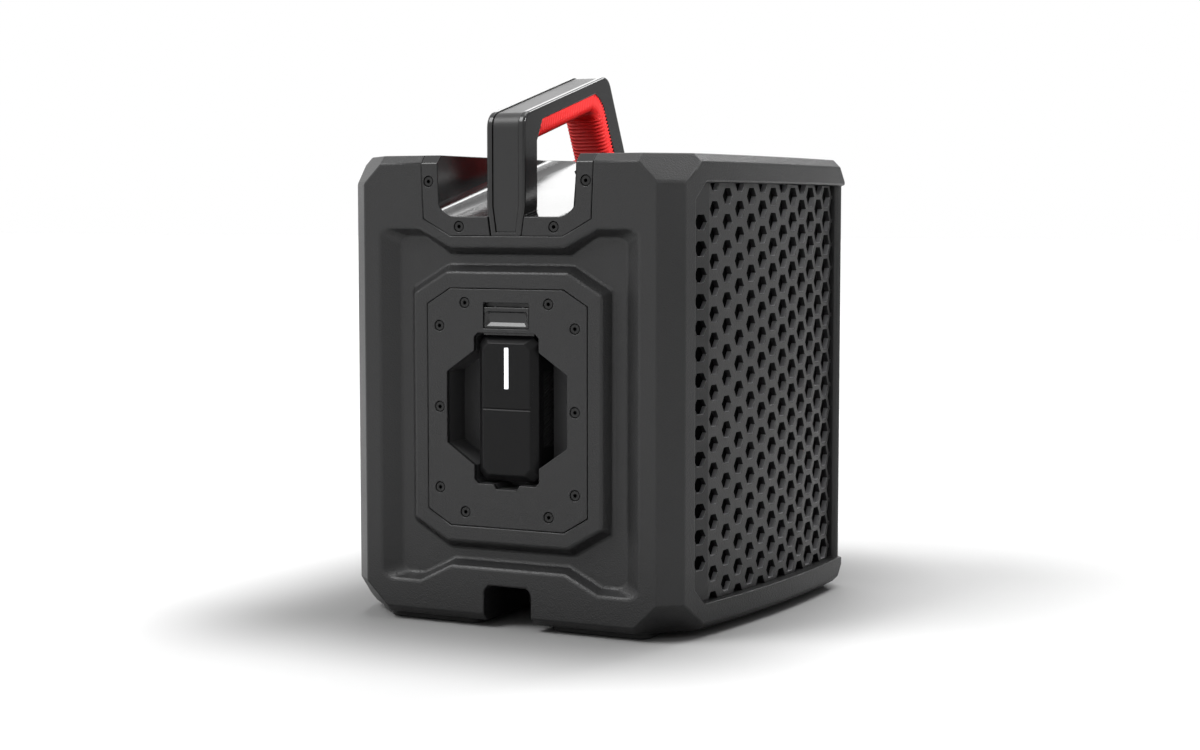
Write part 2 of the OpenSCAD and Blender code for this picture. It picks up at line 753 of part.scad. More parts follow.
// Handle cradle and its screws
module handle_cradle()
    color(dark) placed() difference() {
        union() {
            along_y(flange_t) flange_outline(0, body_top);
            tub(cradle_t, 0);
        }
        on_ramp() trough(0);
        across(reach) polygon([
            [-1, body_top + 1], [-1, body_top - top_bevel - 1], [top_bevel + 1, body_top + 1]
        ]);
        along_y(leg_d + seam + 1, -1) leg_outline(seam);
        at_cradle_screws() screw_hole(cradle_screw_len);
        bolt_holes();
    }
module cradle_screws() color(black) placed() at_cradle_screws() screw(cradle_screw_len);

// Handle: black frame, soft grip along its inside, inlay along its outside
module leg_outline(grow) {
    low = leg_foot_w / 2 + grow;
    high = handle_w / 2 + grow;
    knee = flange_z + leg_foot_h;
    foot = flange_z - 1;
    polygon([[low, foot], [high, knee], [high, reach], [-high, reach], [-high, knee], [-low, foot]]);
}
// Outer line of the handle, some way inside, from one height on the rear leg to one on the front leg
function nose(off) = [off, bar_under(off, off)];
function outer_line(off, z0, z1) =
    concat(
        [[off, z0]],
        rounded([off, z0], nose(off), corner_at(off, off), nose_r - off),
        rounded(nose(off), corner_at(off, off), leg_point(z1, off), peak_r - off),
        [leg_point(z1, off)]
    );
grip_corner = corner_at(bar_frame_t, leg_frame_t);
grip_bend = cut_corner(toe_at(leg_frame_t), grip_corner, grip_rear_top, grip_cut_leg, grip_cut_bar);
module frame_side()
    polygon(concat(
        outer_line(0, flange_z, ramp_z(foot_y(0))),
        [foot_at(leg_off), toe_at(leg_off), toe_at(leg_frame_t)],
        grip_bend,
        [grip_rear_top, grip_rear_low, [leg_d, ramp_z(leg_d) - tub_drop],
         [flange_t, ramp_z(flange_t) - tub_drop], [flange_t, flange_z]]
    ));
module grip_side()
    polygon(concat(
        [grip_rear_low, grip_rear_top],
        reversed(grip_bend),
        [toe_at(leg_frame_t), toe_at(leg_off)],
        rounded(toe_at(leg_off), corner_at(grip_off, leg_off), grip_rear_low, grip_r)
    ));
groove_x = 0.3 * rib_pitch;
module groove() polygon([[-groove_x, -1], [groove_x, -1], [groove_x, 0], [0, rib_d], [-groove_x, 0]]);
module groove_row(run) for (i = [0 : floor(run / rib_pitch)]) translate([i * rib_pitch, 0]) groove();
rib_margin = 3;
module rib_grooves() {
    inner = corner_at(grip_off, leg_off);
    bend = grip_r / tan((90 + bar_a - leg_lean) / 2);
    bar_run = norm(inner - grip_rear_low) - bend - 2 * rib_margin;
    leg_run = norm(inner - toe_at(leg_off)) - bend - 2 * rib_margin;
    translate(grip_rear_low) rotate(bar_a) translate([rib_margin, 0]) groove_row(bar_run);
    translate(toe_at(leg_off)) rotate(90 + leg_lean) mirror([0, 1])
        translate([rib_margin, 0]) groove_row(leg_run);
}
module inlay_band(top, low, shorten) {
    z0 = flange_z + inlay_foot + shorten;
    z1 = ramp_z(foot_y(0)) + inlay_foot + shorten;
    intersection() {
        across(reach) polygon(concat(outer_line(top, z0, z1), reversed(outer_line(low, z0, z1))));
        along_y(reach, -1) leg_outline(-rail_w - shorten);
    }
}
module handle_frame()
    color(dark) placed() difference() {
        intersection() {
            across(handle_w) frame_side();
            along_y(reach, -1) leg_outline(0);
        }
        inlay_band(-1, inlay_sink + inlay_t, 0);
        bolt_holes();
        at_foot_screws() screw_hole(foot_screw_len);
    }
module handle_grip()
    color(red) placed() across(handle_w) difference() {
        grip_side();
        rib_grooves();
    }
module handle_inlay() color(black) placed() inlay_band(inlay_sink, inlay_sink + inlay_t, seam);

// Bolts from inside the body up into the front leg, and screws under the inlay through the rear leg's foot
bolt_y = foot_y(leg_frame_t / 2);
bolt_x = 6.5;
bolt_head_h = 5;
bolt_head_d = 1.7 * bolt_d;
bolt_grip = 10;
bolt_len = deck_t + cradle_t + bolt_grip;
foot_screw_len = 12;
module at_bolts()
    for (x = [-bolt_x, bolt_x])
        translate([x, bolt_y, ramp_z(bolt_y)]) rotate([ramp_a, 0, 0])
            translate([0, 0, -cradle_t - deck_t]) children();
module bolt_holes() at_bolts() translate([0, 0, -lap]) cylinder(d = bolt_d + seam, h = bolt_len + 2 * lap);
module at_foot_screws()
    for (x = [-bolt_x, bolt_x])
        translate([x, inlay_sink + inlay_t + seam, flange_z + inlay_foot + head_d / 2 + seam]) children();
module handle_bolts()
    color(metal) placed() {
        at_bolts() {
            cylinder(d = bolt_d, h = bolt_len);
            translate([0, 0, -bolt_head_h]) cylinder(d = bolt_head_d, h = bolt_head_h);
        }
        at_foot_screws() screw(foot_screw_len);
    }

// Battery bezel and bay
module well_outline()
    translate([0, bay_z]) polygon([
        [slot_x, well_mouth / 2], [well_x, well_h / 2], [well_x, -well_h / 2], [slot_x, -well_mouth / 2],
        [-slot_x, -well_mouth / 2], [-well_x, -well_h / 2], [-well_x, well_h / 2], [-slot_x, well_mouth / 2]
    ]);
module slot_outline(grow)
    translate([-slot_x - grow, bay_z - slot_h / 2 - grow]) square([2 * (slot_x + grow), slot_h + 2 * grow]);
mouth_cut = 3;
notch_flare = 2.6;
module notch_outline() {
    low = notch_w / 2;
    high = low + notch_flare;
    top = bay_z - slot_h / 2;
    polygon([
        [low, top - notch_h], [high, top], [high, top + notch_h],
        [-high, top + notch_h], [-high, top], [-low, top - notch_h]
    ]);
}
module mouth_outline() {
    well_outline();
    octagon(slot_x + mouth_side, slot_h / 2 + mouth_grow, mouth_cut, mouth_cut);
    notch_outline();
}
module battery_bezel()
    color(charcoal) placed() difference() {
        along_y(bezel_t) octagon(bezel_x, bezel_z, bezel_cut_x, bezel_cut_z);
        along_y(bezel_t + 2, -1) {
            mouth_outline();
            translate([-latch_w / 2, latch_z]) square([latch_w, latch_h]);
        }
        at_bezel_screws() screw_hole(bezel_screw_len);
    }
module bezel_screws() color(black) placed() at_bezel_screws() screw(bezel_screw_len);
dock_x = 16;
dock_h = 22;
dock_len = 8;
dock_z = bay_z - 20;
module battery_bay()
    color(black) placed() difference() {
        union() {
            along_y(bay_t, bezel_t) octagon(bezel_x, bezel_z, bezel_cut_x, bezel_cut_z);
            block(well_x + bay_t, bezel_t, well_d + bay_t, bay_z - bay_low, bay_z + bay_high);
            along_y(slot_end + bay_t - bezel_t, bezel_t) slot_outline(bay_t);
        }
        along_y(well_d - bezel_t + lap, bezel_t - lap) mouth_outline();
        along_y(slot_end - bezel_t + lap, bezel_t - lap) slot_outline(0);
        block(latch_plate_x + seam, bezel_t - lap, flange_back + lap, latch_plate_low - 2 * lap, spring_top);
        block(dock_x + seam, slot_end - lap, slot_end + bay_t + 1,
              dock_z - dock_h / 2 - seam, dock_z + dock_h / 2 + seam);
        at_bezel_screws() screw_hole(bezel_screw_len);
    }
module dock_connector()
    color(black) placed()
        block(dock_x, slot_end, slot_end + bay_t + dock_len, dock_z - dock_h / 2, dock_z + dock_h / 2);

// Latch: a slider with a finger pocket that shows in the bezel's window, and a leaf spring above it
latch_plate_x = latch_w / 2 + 2.6;
latch_plate_low = bay_z + pack_h / 2 + gap;
latch_plate_drop = 5.9;
latch_plate_high = latch_z + latch_h - latch_plate_drop;
spring_room = 7;
spring_top = latch_plate_high + spring_room;
latch_face_y = 0.8;
pocket_wall = 2;
pocket_floor = 3;
pocket_slope = 4;
module latch_slider()
    color(dark) placed() difference() {
        union() {
            block(latch_w / 2 - gap, latch_face_y, bezel_t + gap, latch_z + gap, latch_top);
            block(latch_plate_x - gap, bezel_t + gap, flange_back - gap, latch_plate_low, latch_plate_high);
        }
        latch_pocket();
    }
module latch_pocket() {
    x = latch_w / 2 - gap - pocket_wall;
    translate([0, 0, latch_z + gap + pocket_wall])
        linear_extrude(latch_top - latch_z - gap - 3 * pocket_wall)
            polygon([[-x, 0], [x, 0], [x - pocket_slope, pocket_floor], [pocket_slope - x, pocket_floor]]);
}
spring_t = 0.6;
spring_x = 14;
spring_gap = 0.3;
module latch_spring()
    color(metal) placed() {
        span = spring_room - 2 * spring_gap;
        rise = span - spring_t;
        r = (spring_x * spring_x + rise * rise) / (2 * rise);
        translate([0, 0, spring_top - spring_gap - r]) along_y(bay_t - 3 * gap, bezel_t + gap + spring_gap)
            intersection() {
                difference() {
                    circle(r);
                    circle(r - spring_t);
                }
                translate([-spring_x, r - span]) square([2 * spring_x, span]);
            }
    }

// Battery pack
module pack_outline(inset) {
    cut = pack_cut - inset / 2;
    octagon(pack_w / 2 - inset, pack_h / 2 - inset, cut, cut);
}
module bevelled(half, run) {
    flat = half - run;
    polygon([[-flat, 0], [flat, 0], [half, cap_bevel], [half, cap_d], [-half, cap_d], [-half, cap_bevel]]);
}
cap_groove = 1;
cap_corner_run = 7.5;
module cap_corners(turn)
    translate([0, 0, bay_z]) rotate([0, turn, 0]) linear_extrude(reach, center = true)
        bevelled((pack_w / 2 + pack_h / 2 - pack_cut) / sqrt(2), cap_corner_run);
module pack_front()
    color(black) placed() difference() {
        intersection() {
            along_y(cap_d) pack_outline(0);
            translate([0, 0, bay_z - pack_h / 2]) linear_extrude(pack_h) bevelled(pack_w / 2, cap_bevel);
            translate([0, 0, bay_z]) across(pack_w) rotate(90) mirror([0, 1])
                bevelled(pack_h / 2, cap_bevel);
            cap_corners(45);
            cap_corners(-45);
        }
        light_slit(seam / 3);
        translate([0, 0, bay_z]) across(pack_w)
            polygon([[-1, 1.5 * cap_groove], [cap_groove, 0], [-1, -1.5 * cap_groove]]);
    }
light_d = 3;
module light_slit(grow) {
    low = bay_z + light_rise;
    block(light_w / 2 + grow, -1, light_d, low - grow, low + light_h + grow);
}
module pack_light()
    color("white") placed() intersection() {
        light_slit(0);
        block(reach, seam, reach, 0, reach);
    }
grip_pad_y = 12;
grip_pad_len = 14;
grip_pad_h = 54;
grip_pad_t = 1;
pad_rib = 2.4;
pad_rib_w = 0.8;
pad_rib_a = 20;
module pack_case()
    color(dark) placed() difference() {
        along_y(pack_len - cap_d, cap_d) pack_outline(0);
        along_y(pack_len - cap_d - 2 * case_t, cap_d + case_t) pack_outline(case_t);
        pair() translate([pack_w / 2 - grip_pad_t, grip_pad_y - seam, bay_z - grip_pad_h / 2 - seam])
            cube([grip_pad_t + 1, grip_pad_len + 2 * seam, grip_pad_h + 2 * seam]);
        at_contacts()
            block(contact_w / 2 + gap, pack_len - case_t - 1, pack_len + 1,
                  -contact_h - gap, contact_h + gap);
    }
module pack_grips()
    color(black) placed() pair() translate([pack_w / 2, grip_pad_y, bay_z - grip_pad_h / 2]) difference() {
        translate([-grip_pad_t, 0, 0]) cube([grip_pad_t, grip_pad_len, grip_pad_h]);
        for (i = [0 : floor(grip_pad_h / pad_rib) - 1])
            translate([0, grip_pad_len / 2, (i + 0.5) * pad_rib])
                rotate([pad_rib_a, 0, 0]) rotate([0, 45, 0])
                    cube([pad_rib_w, 2 * grip_pad_len, pad_rib_w], center = true);
    }
holder_t = 4;
module at_cells()
    for (i = [0 : CELLS_ACROSS - 1], j = [0 : CELLS_UP - 1])
        translate([(i - (CELLS_ACROSS - 1) / 2) * cell_pitch, cell_y,
                   bay_z + (j - (CELLS_UP - 1) / 2) * cell_pitch]) children();
module pack_cells()
    color("#5a7fa8") placed() at_cells() rotate([-90, 0, 0]) cylinder(d = cell_d, h = cell_len);
module cell_holder()
    color(dark) placed() difference() {
        for (y = [cell_y + holder_t, cell_y + cell_len - 2 * holder_t])
            along_y(holder_t, y) pack_outline(case_t + seam / 2);
        at_cells() translate([0, -1, 0]) rotate([-90, 0, 0]) cylinder(d = cell_d + seam, h = cell_len + 2);
    }
pack_board_h = 92;
pack_board_y = cell_y + cell_len;
module pack_board()
    color(board) placed()
        block(pack_w / 2 - case_t - 1, pack_board_y, pack_board_y + board_t,
              bay_z - pack_board_h / 2, bay_z + pack_board_h / 2);
contact_w = 4;
contact_h = 4;
contact_pitch = 7;
module at_contacts() for (i = [-1.5 : 1.5]) translate([i * contact_pitch, 0, dock_z]) children();
module pack_contacts()
    color("#c8a24a") placed() at_contacts()
        block(contact_w / 2, pack_board_y + board_t, pack_len, -contact_h, contact_h);

// Hexagon grilles: the holes grow from the rear border to the front, and the first column lies on the strip
panel_gap = 0.1;
hole_rows = floor(grille_h / hole_pitch_z) + 1;
hole_low = (grille_h - (hole_rows - 1) * hole_pitch_z) / 2 - hole_pitch_z / 2;
function hole_z(i, j) = ledge_z + hole_low + (j + (i % 2) / 2) * hole_pitch_z;
function has_hole(i, z) = i > 0 || (z > ledge_z + window_cut && z < lip_z - window_cut);
strip_hole = crease_y - first_column_y - 2.5;
function hole_size(i) = hole_small + (hole_large - hole_small) * i / (side_columns - 1);
module side_panel(front, back)
    intersection() {
        difference() {
            behind_grille(front, ledge_z, lip_z);
            behind_grille(back, ledge_z - 1, lip_z + 1);
        }
        across(reach) window_outline(seam, panel_gap);
        cube([reach, post_y - seam, reach]);
    }
module at_column(i)
    if (i == 0)
        translate([crease_x, crease_y, 0]) rotate([0, 0, -strip_a])
            translate([0, -strip_hole / cos(strip_a), 0]) children();
    else
        translate([grille_apex - grille_r, apex_y, 0])
            rotate([0, 0, -grille_a(first_column_y + i * hole_pitch_y)])
                translate([grille_r, 0, 0]) children();
module side_grille()
    difference() {
        side_panel(0, grille_t);
        for (i = [0 : side_columns - 1], j = [0 : hole_rows])
            if (has_hole(i, hole_z(i, j)))
                at_column(i) translate([0, 0, hole_z(i, j)]) rotate([0, 90, 0]) rotate([0, 0, 90])
                    cylinder(d = hole_size(i) / cos(30), h = 3 * grille_t, center = true, $fn = 6);
    }
module grille_right() color(charcoal) placed() side_grille();
module grille_left() color(charcoal) placed() mirror([1, 0, 0]) side_grille();
front_margin = 14;
front_columns = 2 * floor((post_x - front_margin) / hole_pitch_y) + 1;
module grille_front()
    color(charcoal) placed() along_y(grille_t, front_grille_y - grille_t) difference() {
        translate([seam - post_x, ledge_z + panel_gap])
            square([2 * (post_x - seam), grille_h - 2 * panel_gap]);
        for (i = [0 : front_columns - 1], j = [0 : hole_rows])
            translate([(i - (front_columns - 1) / 2) * hole_pitch_y, hole_z(i, j)])
                circle(d = hole_large / cos(30), $fn = 6);
    }

// Cloth behind the grilles
cloth_side = 4;
module side_cloth() side_panel(grille_t + seam, grille_t + seam + cloth_t);
module cloth_right() color(black) placed() side_cloth();
module cloth_left() color(black) placed() mirror([1, 0, 0]) side_cloth();
module cloth_front()
    color(black) placed()
        block(post_x - cloth_side, core_front + seam, core_front + seam + cloth_t,
              ledge_z + panel_gap, lip_z - panel_gap);

// Front baffle with the woofer and two tweeters
baffle_seat = 8;
tweeter_rim = 5;
tweeter_body = tweeter_d - 2 * tweeter_rim;
basket_wall = 6;
woofer_hole = surround_d + 2 * basket_wall;
module on_axis(x, z) translate([x, 0, z]) rotate([-90, 0, 0]) children();
module front_baffle()
    color(black) placed() difference() {
        block(cavity_front_x - baffle_seat, baffle_y, cavity_front,
              window_low - baffle_seat, window_high + baffle_seat);
        on_axis(0, woofer_z) cylinder(d = woofer_hole, h = reach);
        pair() on_axis(tweeter_x, tweeter_z) cylinder(d = tweeter_body + 2 * gap, h = reach);
    }
basket_y = baffle_y - basket_d;
basket_t = 3;
basket_arms = 4;
basket_hub = magnet_d / 2 - 20;
arm_gap_in = 22;
arm_gap_out = 34;
module woofer_basket()
    color(dark) placed() on_axis(0, woofer_z) difference() {
        rotate_extrude() polygon([
            [surround_d / 2, woofer_face], [woofer_d / 2, woofer_face], [woofer_d / 2, cavity_front],
            [woofer_hole / 2 - seam, cavity_front], [woofer_hole / 2 - basket_t, baffle_y - basket_t],
            [magnet_d / 2 + basket_t, basket_y], [basket_hub, basket_y], [basket_hub, basket_y + basket_t],
            [magnet_d / 2, basket_y + basket_t], [surround_d / 2, baffle_y]
        ]);
        for (i = [0 : basket_arms - 1]) rotate([0, 0, 45 + i * 90]) translate([0, 0, basket_y + 2 * basket_t])
            linear_extrude(basket_d - 6 * basket_t)
                polygon([
                    [basket_hub, -arm_gap_in], [woofer_d / 2, -arm_gap_out],
                    [woofer_d / 2, arm_gap_out], [basket_hub, arm_gap_in]
                ]);
    }
pole_r = 24;
vent_r = 8;
plate_t = 12;
module woofer_magnet()
    color(metal) placed() on_axis(0, woofer_z) translate([0, 0, basket_y - magnet_len]) rotate_extrude()
        polygon([
            [vent_r, 0], [magnet_d / 2 - 2, 0], [magnet_d / 2, 2], [magnet_d / 2, magnet_len],
            [pole_r, magnet_len], [pole_r, plate_t], [vent_r, plate_t]
        ]);
cone_t = 1.8;
cone_face = woofer_face - 1.5;
dust_cap_r = 22;
dust_cap_h = 4;
dust_cap_y = basket_y + 28;
module woofer_cone() {
    shoulder_r = 0.65 * dust_cap_r;
    shoulder_y = dust_cap_y + 0.6 * dust_cap_h;
    color("#2c2c2e") placed() on_axis(0, woofer_z) rotate_extrude()
        polygon([
            [0, dust_cap_y + dust_cap_h], [shoulder_r, shoulder_y], [dust_cap_r, dust_cap_y - cone_t],
            [cone_d / 2, cone_face - cone_t], [cone_d / 2, cone_face], [cone_d / 2 - cone_t, cone_face],
            [dust_cap_r + 1.5, dust_cap_y], [dust_cap_r + 0.5, dust_cap_y],
            [shoulder_r, shoulder_y + cone_t], [0, dust_cap_y + dust_cap_h + cone_t]
        ]);
}
module roll(inner, outer, face, t) {
    r = (outer - inner) / 4;
    rotate_extrude() intersection() {
        translate([inner / 2 + r, face]) difference() {
            circle(r);
            circle(r - t);
        }
        translate([0, face]) square(reach);
    }
}
roll_t = 1.2;
module woofer_surround()
    color(black) placed() on_axis(0, woofer_z) roll(cone_d + gap, surround_d - gap, cone_face - 1, roll_t);
tweeter_len = 22;
tweeter_plate = 2.4;
dome_r = 14;
dome_h = 5;
module tweeter() {
    rear = baffle_y - tweeter_len;
    front = cavity_front + tweeter_plate;
    on_axis(tweeter_x, tweeter_z) rotate_extrude()
        polygon([
            [0, rear], [tweeter_body / 2, rear], [tweeter_body / 2, cavity_front],
            [tweeter_d / 2, cavity_front], [tweeter_d / 2, front], [tweeter_d / 2 - 6, front],
            [dome_r, cavity_front], [0.85 * dome_r, cavity_front + 0.3 * dome_h],
            [0.6 * dome_r, cavity_front + 0.8 * dome_h], [0, cavity_front + dome_h]
        ]);
}
module tweeter_right() color(dark) placed() tweeter();
module tweeter_left() color(dark) placed() mirror([1, 0, 0]) tweeter();

// Passive radiators in the side walls; each works along its own axis
frame_t = 5;
frame_rim = 15;
frame_in = radiator_d - 4;
disc_d = radiator_d - 42;
disc_t = 4;
disc_boss = 9;
disc_boss_r = 26;
module radiator_frame()
    at_side() translate([0, 0, -frame_t]) difference() {
        cylinder(d = radiator_d + 2 * frame_rim, h = frame_t);
        translate([0, 0, -1]) cylinder(d = frame_in, h = frame_t + 2);
    }
module radiator_disc()
    at_side() rotate_extrude()
        polygon([
            [0, -disc_boss], [disc_boss_r, -disc_boss], [disc_boss_r, -disc_t], [disc_d / 2, -disc_t],
            [disc_d / 2, -1], [disc_d / 2 - 8, 0], [0, 2]
        ]);
module radiator_roll() at_side() roll(disc_d + gap, frame_in - gap, -3.4, roll_t);
module radiator_frame_right() color(dark) placed() radiator_frame();
module radiator_right() color("#2c2c2e") placed() radiator_disc();
module radiator_surround_right() color(black) placed() radiator_roll();
module radiator_frame_left() color(dark) placed() mirror([1, 0, 0]) radiator_frame();
module radiator_left() color("#2c2c2e") placed() mirror([1, 0, 0]) radiator_disc();
module radiator_surround_left() color(black) placed() mirror([1, 0, 0]) radiator_roll();

// Amplifier on its heat sink, on the body's floor
sink_w = 110;
sink_h = 22;
sink_y = channel_len + deck_t + 30;
sink_d = 80;
sink_base = 5;
fin_t = 3;
fins = 9;
module amp_heatsink()
    color(metal) placed() along_y(sink_d, sink_y) translate([-sink_w / 2, inner_floor]) {
        square([sink_w, sink_base]);
        for (i = [0 : fins - 1]) translate([i * (sink_w - fin_t) / (fins - 1), 0]) square([fin_t, sink_h]);
    }
can_d = 16;
can_h = 22;
choke_h = 12;
module amp_board()
    color(board) placed() translate([0, sink_y, inner_floor + sink_h]) {
        block(sink_w / 2, 0, sink_d, 0, board_t);
        for (i = [-1 : 1]) translate([i * 2 * can_d, 24, board_t]) cylinder(d = can_d, h = can_h);
        block(40, 46, 64, board_t, board_t + choke_h);
    }

// Control panel in the top with its buttons and board
button_flange = 3;
button_edge = 0.8;
button_base = panel_z - seam - button_flange;
post_d = 6;
module at_button(i) translate([(i - (BUTTONS - 1) / 2) * button_pitch, control_y, 0]) children();
module at_buttons() for (i = [0 : BUTTONS - 1]) at_button(i) children();
module control_panel()
    color(dark) placed() difference() {
        translate([0, control_y, 0]) {
            block(control_w / 2, -control_d / 2, control_d / 2, panel_z, body_top);
            for (x = [-1, 1], y = [-1, 1])
                translate([x * (control_w / 2 - 10), y * (control_d / 2 - 9), board_z + board_t])
                    cylinder(d = post_d, h = panel_z - board_z - board_t + lap);
        }
        at_buttons() translate([0, 0, panel_z - 1]) cylinder(d = button_d + 2 * gap, h = control_t + 2);
    }
module control_board()
    color(board) placed() {
        translate([0, control_y, 0])
            block(control_w / 2 - control_ledge - 1, control_ledge + 1 - control_d / 2,
                  control_d / 2 - control_ledge - 1, board_z, board_z + board_t);
        at_buttons() translate([0, 0, board_z])
            cylinder(d = button_d / 2, h = button_base - button_travel - gap - board_z);
    }
module button(i) {
    h = control_t + button_rise + seam + lap;
    at_button(i) {
        translate([0, 0, button_base]) cylinder(d = button_d + 3, h = button_flange);
        translate([0, 0, panel_z - seam - lap]) rotate_extrude()
            polygon([
                [0, 0], [button_d / 2, 0], [button_d / 2, h - button_edge],
                [button_d / 2 - button_edge, h], [0, h - button_edge]
            ]);
    }
}
module button_power() color(red) placed() button(0);
module button_pair() color(black) placed() button(1);
module button_down() color(black) placed() button(2);
module button_play() color(black) placed() button(3);
module button_up() color(black) placed() button(4);

// Rubber feet under the four corners
foot_r = 8;
foot_inset = 12;
rear_foot_w = rear_w / 2 - foot_inset - channel_w / 2 - foot_gap;
module feet()
    color(black) placed() for (s = [-1, 1]) {
        foot_pad(s * (rear_w / 2 - foot_inset - rear_foot_w / 2), foot_inset + foot_d / 2, rear_foot_w);
        foot_pad(s * (front_w / 2 - 2.5 * foot_inset - front_foot_w / 2), post_y - foot_d / 2, front_foot_w);
    }
module foot_pad(x, y, w)
    translate([x, y, 0]) linear_extrude(foot_h) {
        square([w, foot_d - 2 * foot_r], center = true);
        square([w - 2 * foot_r, foot_d], center = true);
        for (i = [-1, 1], j = [-1, 1])
            translate([i * (w / 2 - foot_r), j * (foot_d / 2 - foot_r)]) circle(foot_r);
    }

body_shell();
handle_cradle();
cradle_screws();
handle_frame();
handle_inlay();
handle_grip();
handle_bolts();
battery_bezel();
bezel_screws();
battery_bay();
dock_connector();
latch_slider();
latch_spring();
pack_case();
pack_front();
pack_light();
pack_grips();
pack_cells();
cell_holder();
pack_board();
pack_contacts();
grille_right();
grille_left();
grille_front();
cloth_right();
cloth_left();
cloth_front();
front_baffle();
woofer_basket();
woofer_magnet();
woofer_cone();
woofer_surround();
tweeter_left();
tweeter_right();
radiator_frame_right();
radiator_right();
radiator_surround_right();
radiator_frame_left();
radiator_left();
radiator_surround_left();
amp_heatsink();
amp_board();
control_panel();
control_board();
button_power();
button_pair();
button_down();
button_play();
button_up();
feet();
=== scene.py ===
"""Looks of a rugged battery speaker.

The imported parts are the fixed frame. This script gives each part its finish, rounds the edges of the parts
that show, and models what is too fine for them: screw sockets, the latch's finger pocket, grip ribs,
speaker cloth and button signs.
"""
import json
import math

import bmesh
import bpy
from mathutils import Matrix, Vector
from mathutils.bvhtree import BVHTree


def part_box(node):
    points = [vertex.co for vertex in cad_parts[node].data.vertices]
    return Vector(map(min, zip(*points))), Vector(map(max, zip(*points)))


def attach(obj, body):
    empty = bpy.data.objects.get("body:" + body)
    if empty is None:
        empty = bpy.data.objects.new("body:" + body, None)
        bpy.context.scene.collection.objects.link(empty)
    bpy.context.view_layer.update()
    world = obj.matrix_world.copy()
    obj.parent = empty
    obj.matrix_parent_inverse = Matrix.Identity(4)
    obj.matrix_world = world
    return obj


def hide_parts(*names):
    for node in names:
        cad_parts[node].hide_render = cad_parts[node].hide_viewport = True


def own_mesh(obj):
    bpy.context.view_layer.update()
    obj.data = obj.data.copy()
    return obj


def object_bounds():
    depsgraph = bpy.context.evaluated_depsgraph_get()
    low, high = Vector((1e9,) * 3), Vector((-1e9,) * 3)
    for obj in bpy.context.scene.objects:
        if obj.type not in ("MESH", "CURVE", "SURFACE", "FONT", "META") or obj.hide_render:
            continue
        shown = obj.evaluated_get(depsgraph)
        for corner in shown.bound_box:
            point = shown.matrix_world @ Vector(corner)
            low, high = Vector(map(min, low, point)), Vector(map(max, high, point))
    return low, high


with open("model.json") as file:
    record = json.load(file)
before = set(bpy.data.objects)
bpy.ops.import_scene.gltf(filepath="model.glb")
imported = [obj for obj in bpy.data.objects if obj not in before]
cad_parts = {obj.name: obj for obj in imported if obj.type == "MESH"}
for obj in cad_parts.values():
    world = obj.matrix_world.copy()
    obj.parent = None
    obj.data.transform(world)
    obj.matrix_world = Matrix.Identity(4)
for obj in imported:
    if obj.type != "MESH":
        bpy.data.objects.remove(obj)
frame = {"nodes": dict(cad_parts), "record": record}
CAD_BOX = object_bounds()
NODES = frame["nodes"]
SLOT_OF = {part["node"]: part["material_slot"] for part in frame["record"]["subparts"]}
BODY_OF = {node: body for body, nodes in frame["record"]["behaviour"]["bodies"].items() for node in nodes}
REAR = CAD_BOX[0][1]

# Sizes of pieces are in millimetres. The camera, lamps, floor and depths of grain are in metres.
MM = 0.001


# Camera at the photograph's viewpoint

CAMERA_PLACE = (0.6825, -1.4116, 0.2994)
CAMERA_TILT = 85.407
CAMERA_TURN = 25.656
CAMERA_LENS = 60.9


def make_camera():
    lens = bpy.data.cameras.new("camera")
    lens.lens = CAMERA_LENS
    camera = bpy.data.objects.new("camera", lens)
    camera.location = CAMERA_PLACE
    camera.rotation_euler = (math.radians(CAMERA_TILT), 0, math.radians(CAMERA_TURN))
    bpy.context.scene.collection.objects.link(camera)
    bpy.context.scene.camera = camera


# Node helpers

def add(tree, kind, inputs=None, **settings):
    """A shader node with its settings, and its inputs given as values or as sockets to link."""
    made = tree.nodes.new("ShaderNode" + kind)
    for name, value in settings.items():
        setattr(made, name, value)
    for name, value in (inputs or {}).items():
        if isinstance(value, bpy.types.NodeSocket):
            tree.links.new(value, made.inputs[name])
        else:
            made.inputs[name].default_value = value
    return made


def math_of(tree, operation, a, b=0.0, c=0.0):
    return add(tree, "Math", {0: a, 1: b, 2: c}, operation=operation).outputs[0]


def mix_of(tree, factor, dark, light):
    return add(tree, "Mix", {0: factor, 6: dark, 7: light}, data_type="RGBA").outputs[2]


def new_group(name, inputs, outputs):
    """An empty node group with named number sockets, and its input and output nodes."""
    group = bpy.data.node_groups.new(name, "ShaderNodeTree")
    for label, value in inputs.items():
        socket = group.interface.new_socket(label, in_out="INPUT", socket_type="NodeSocketFloat")
        socket.default_value = value
    for label in outputs:
        group.interface.new_socket(label, in_out="OUTPUT", socket_type="NodeSocketFloat")
    return group, group.nodes.new("NodeGroupInput"), group.nodes.new("NodeGroupOutput")


# Effects that the finishes share

PITS = 900.0
PIT_SHARE = 0.7
PATCHES = 14.0
LINES = 2400.0
LINE_STRETCH = 0.02
LINE_PATCHES = 30.0
THREADS = 900.0


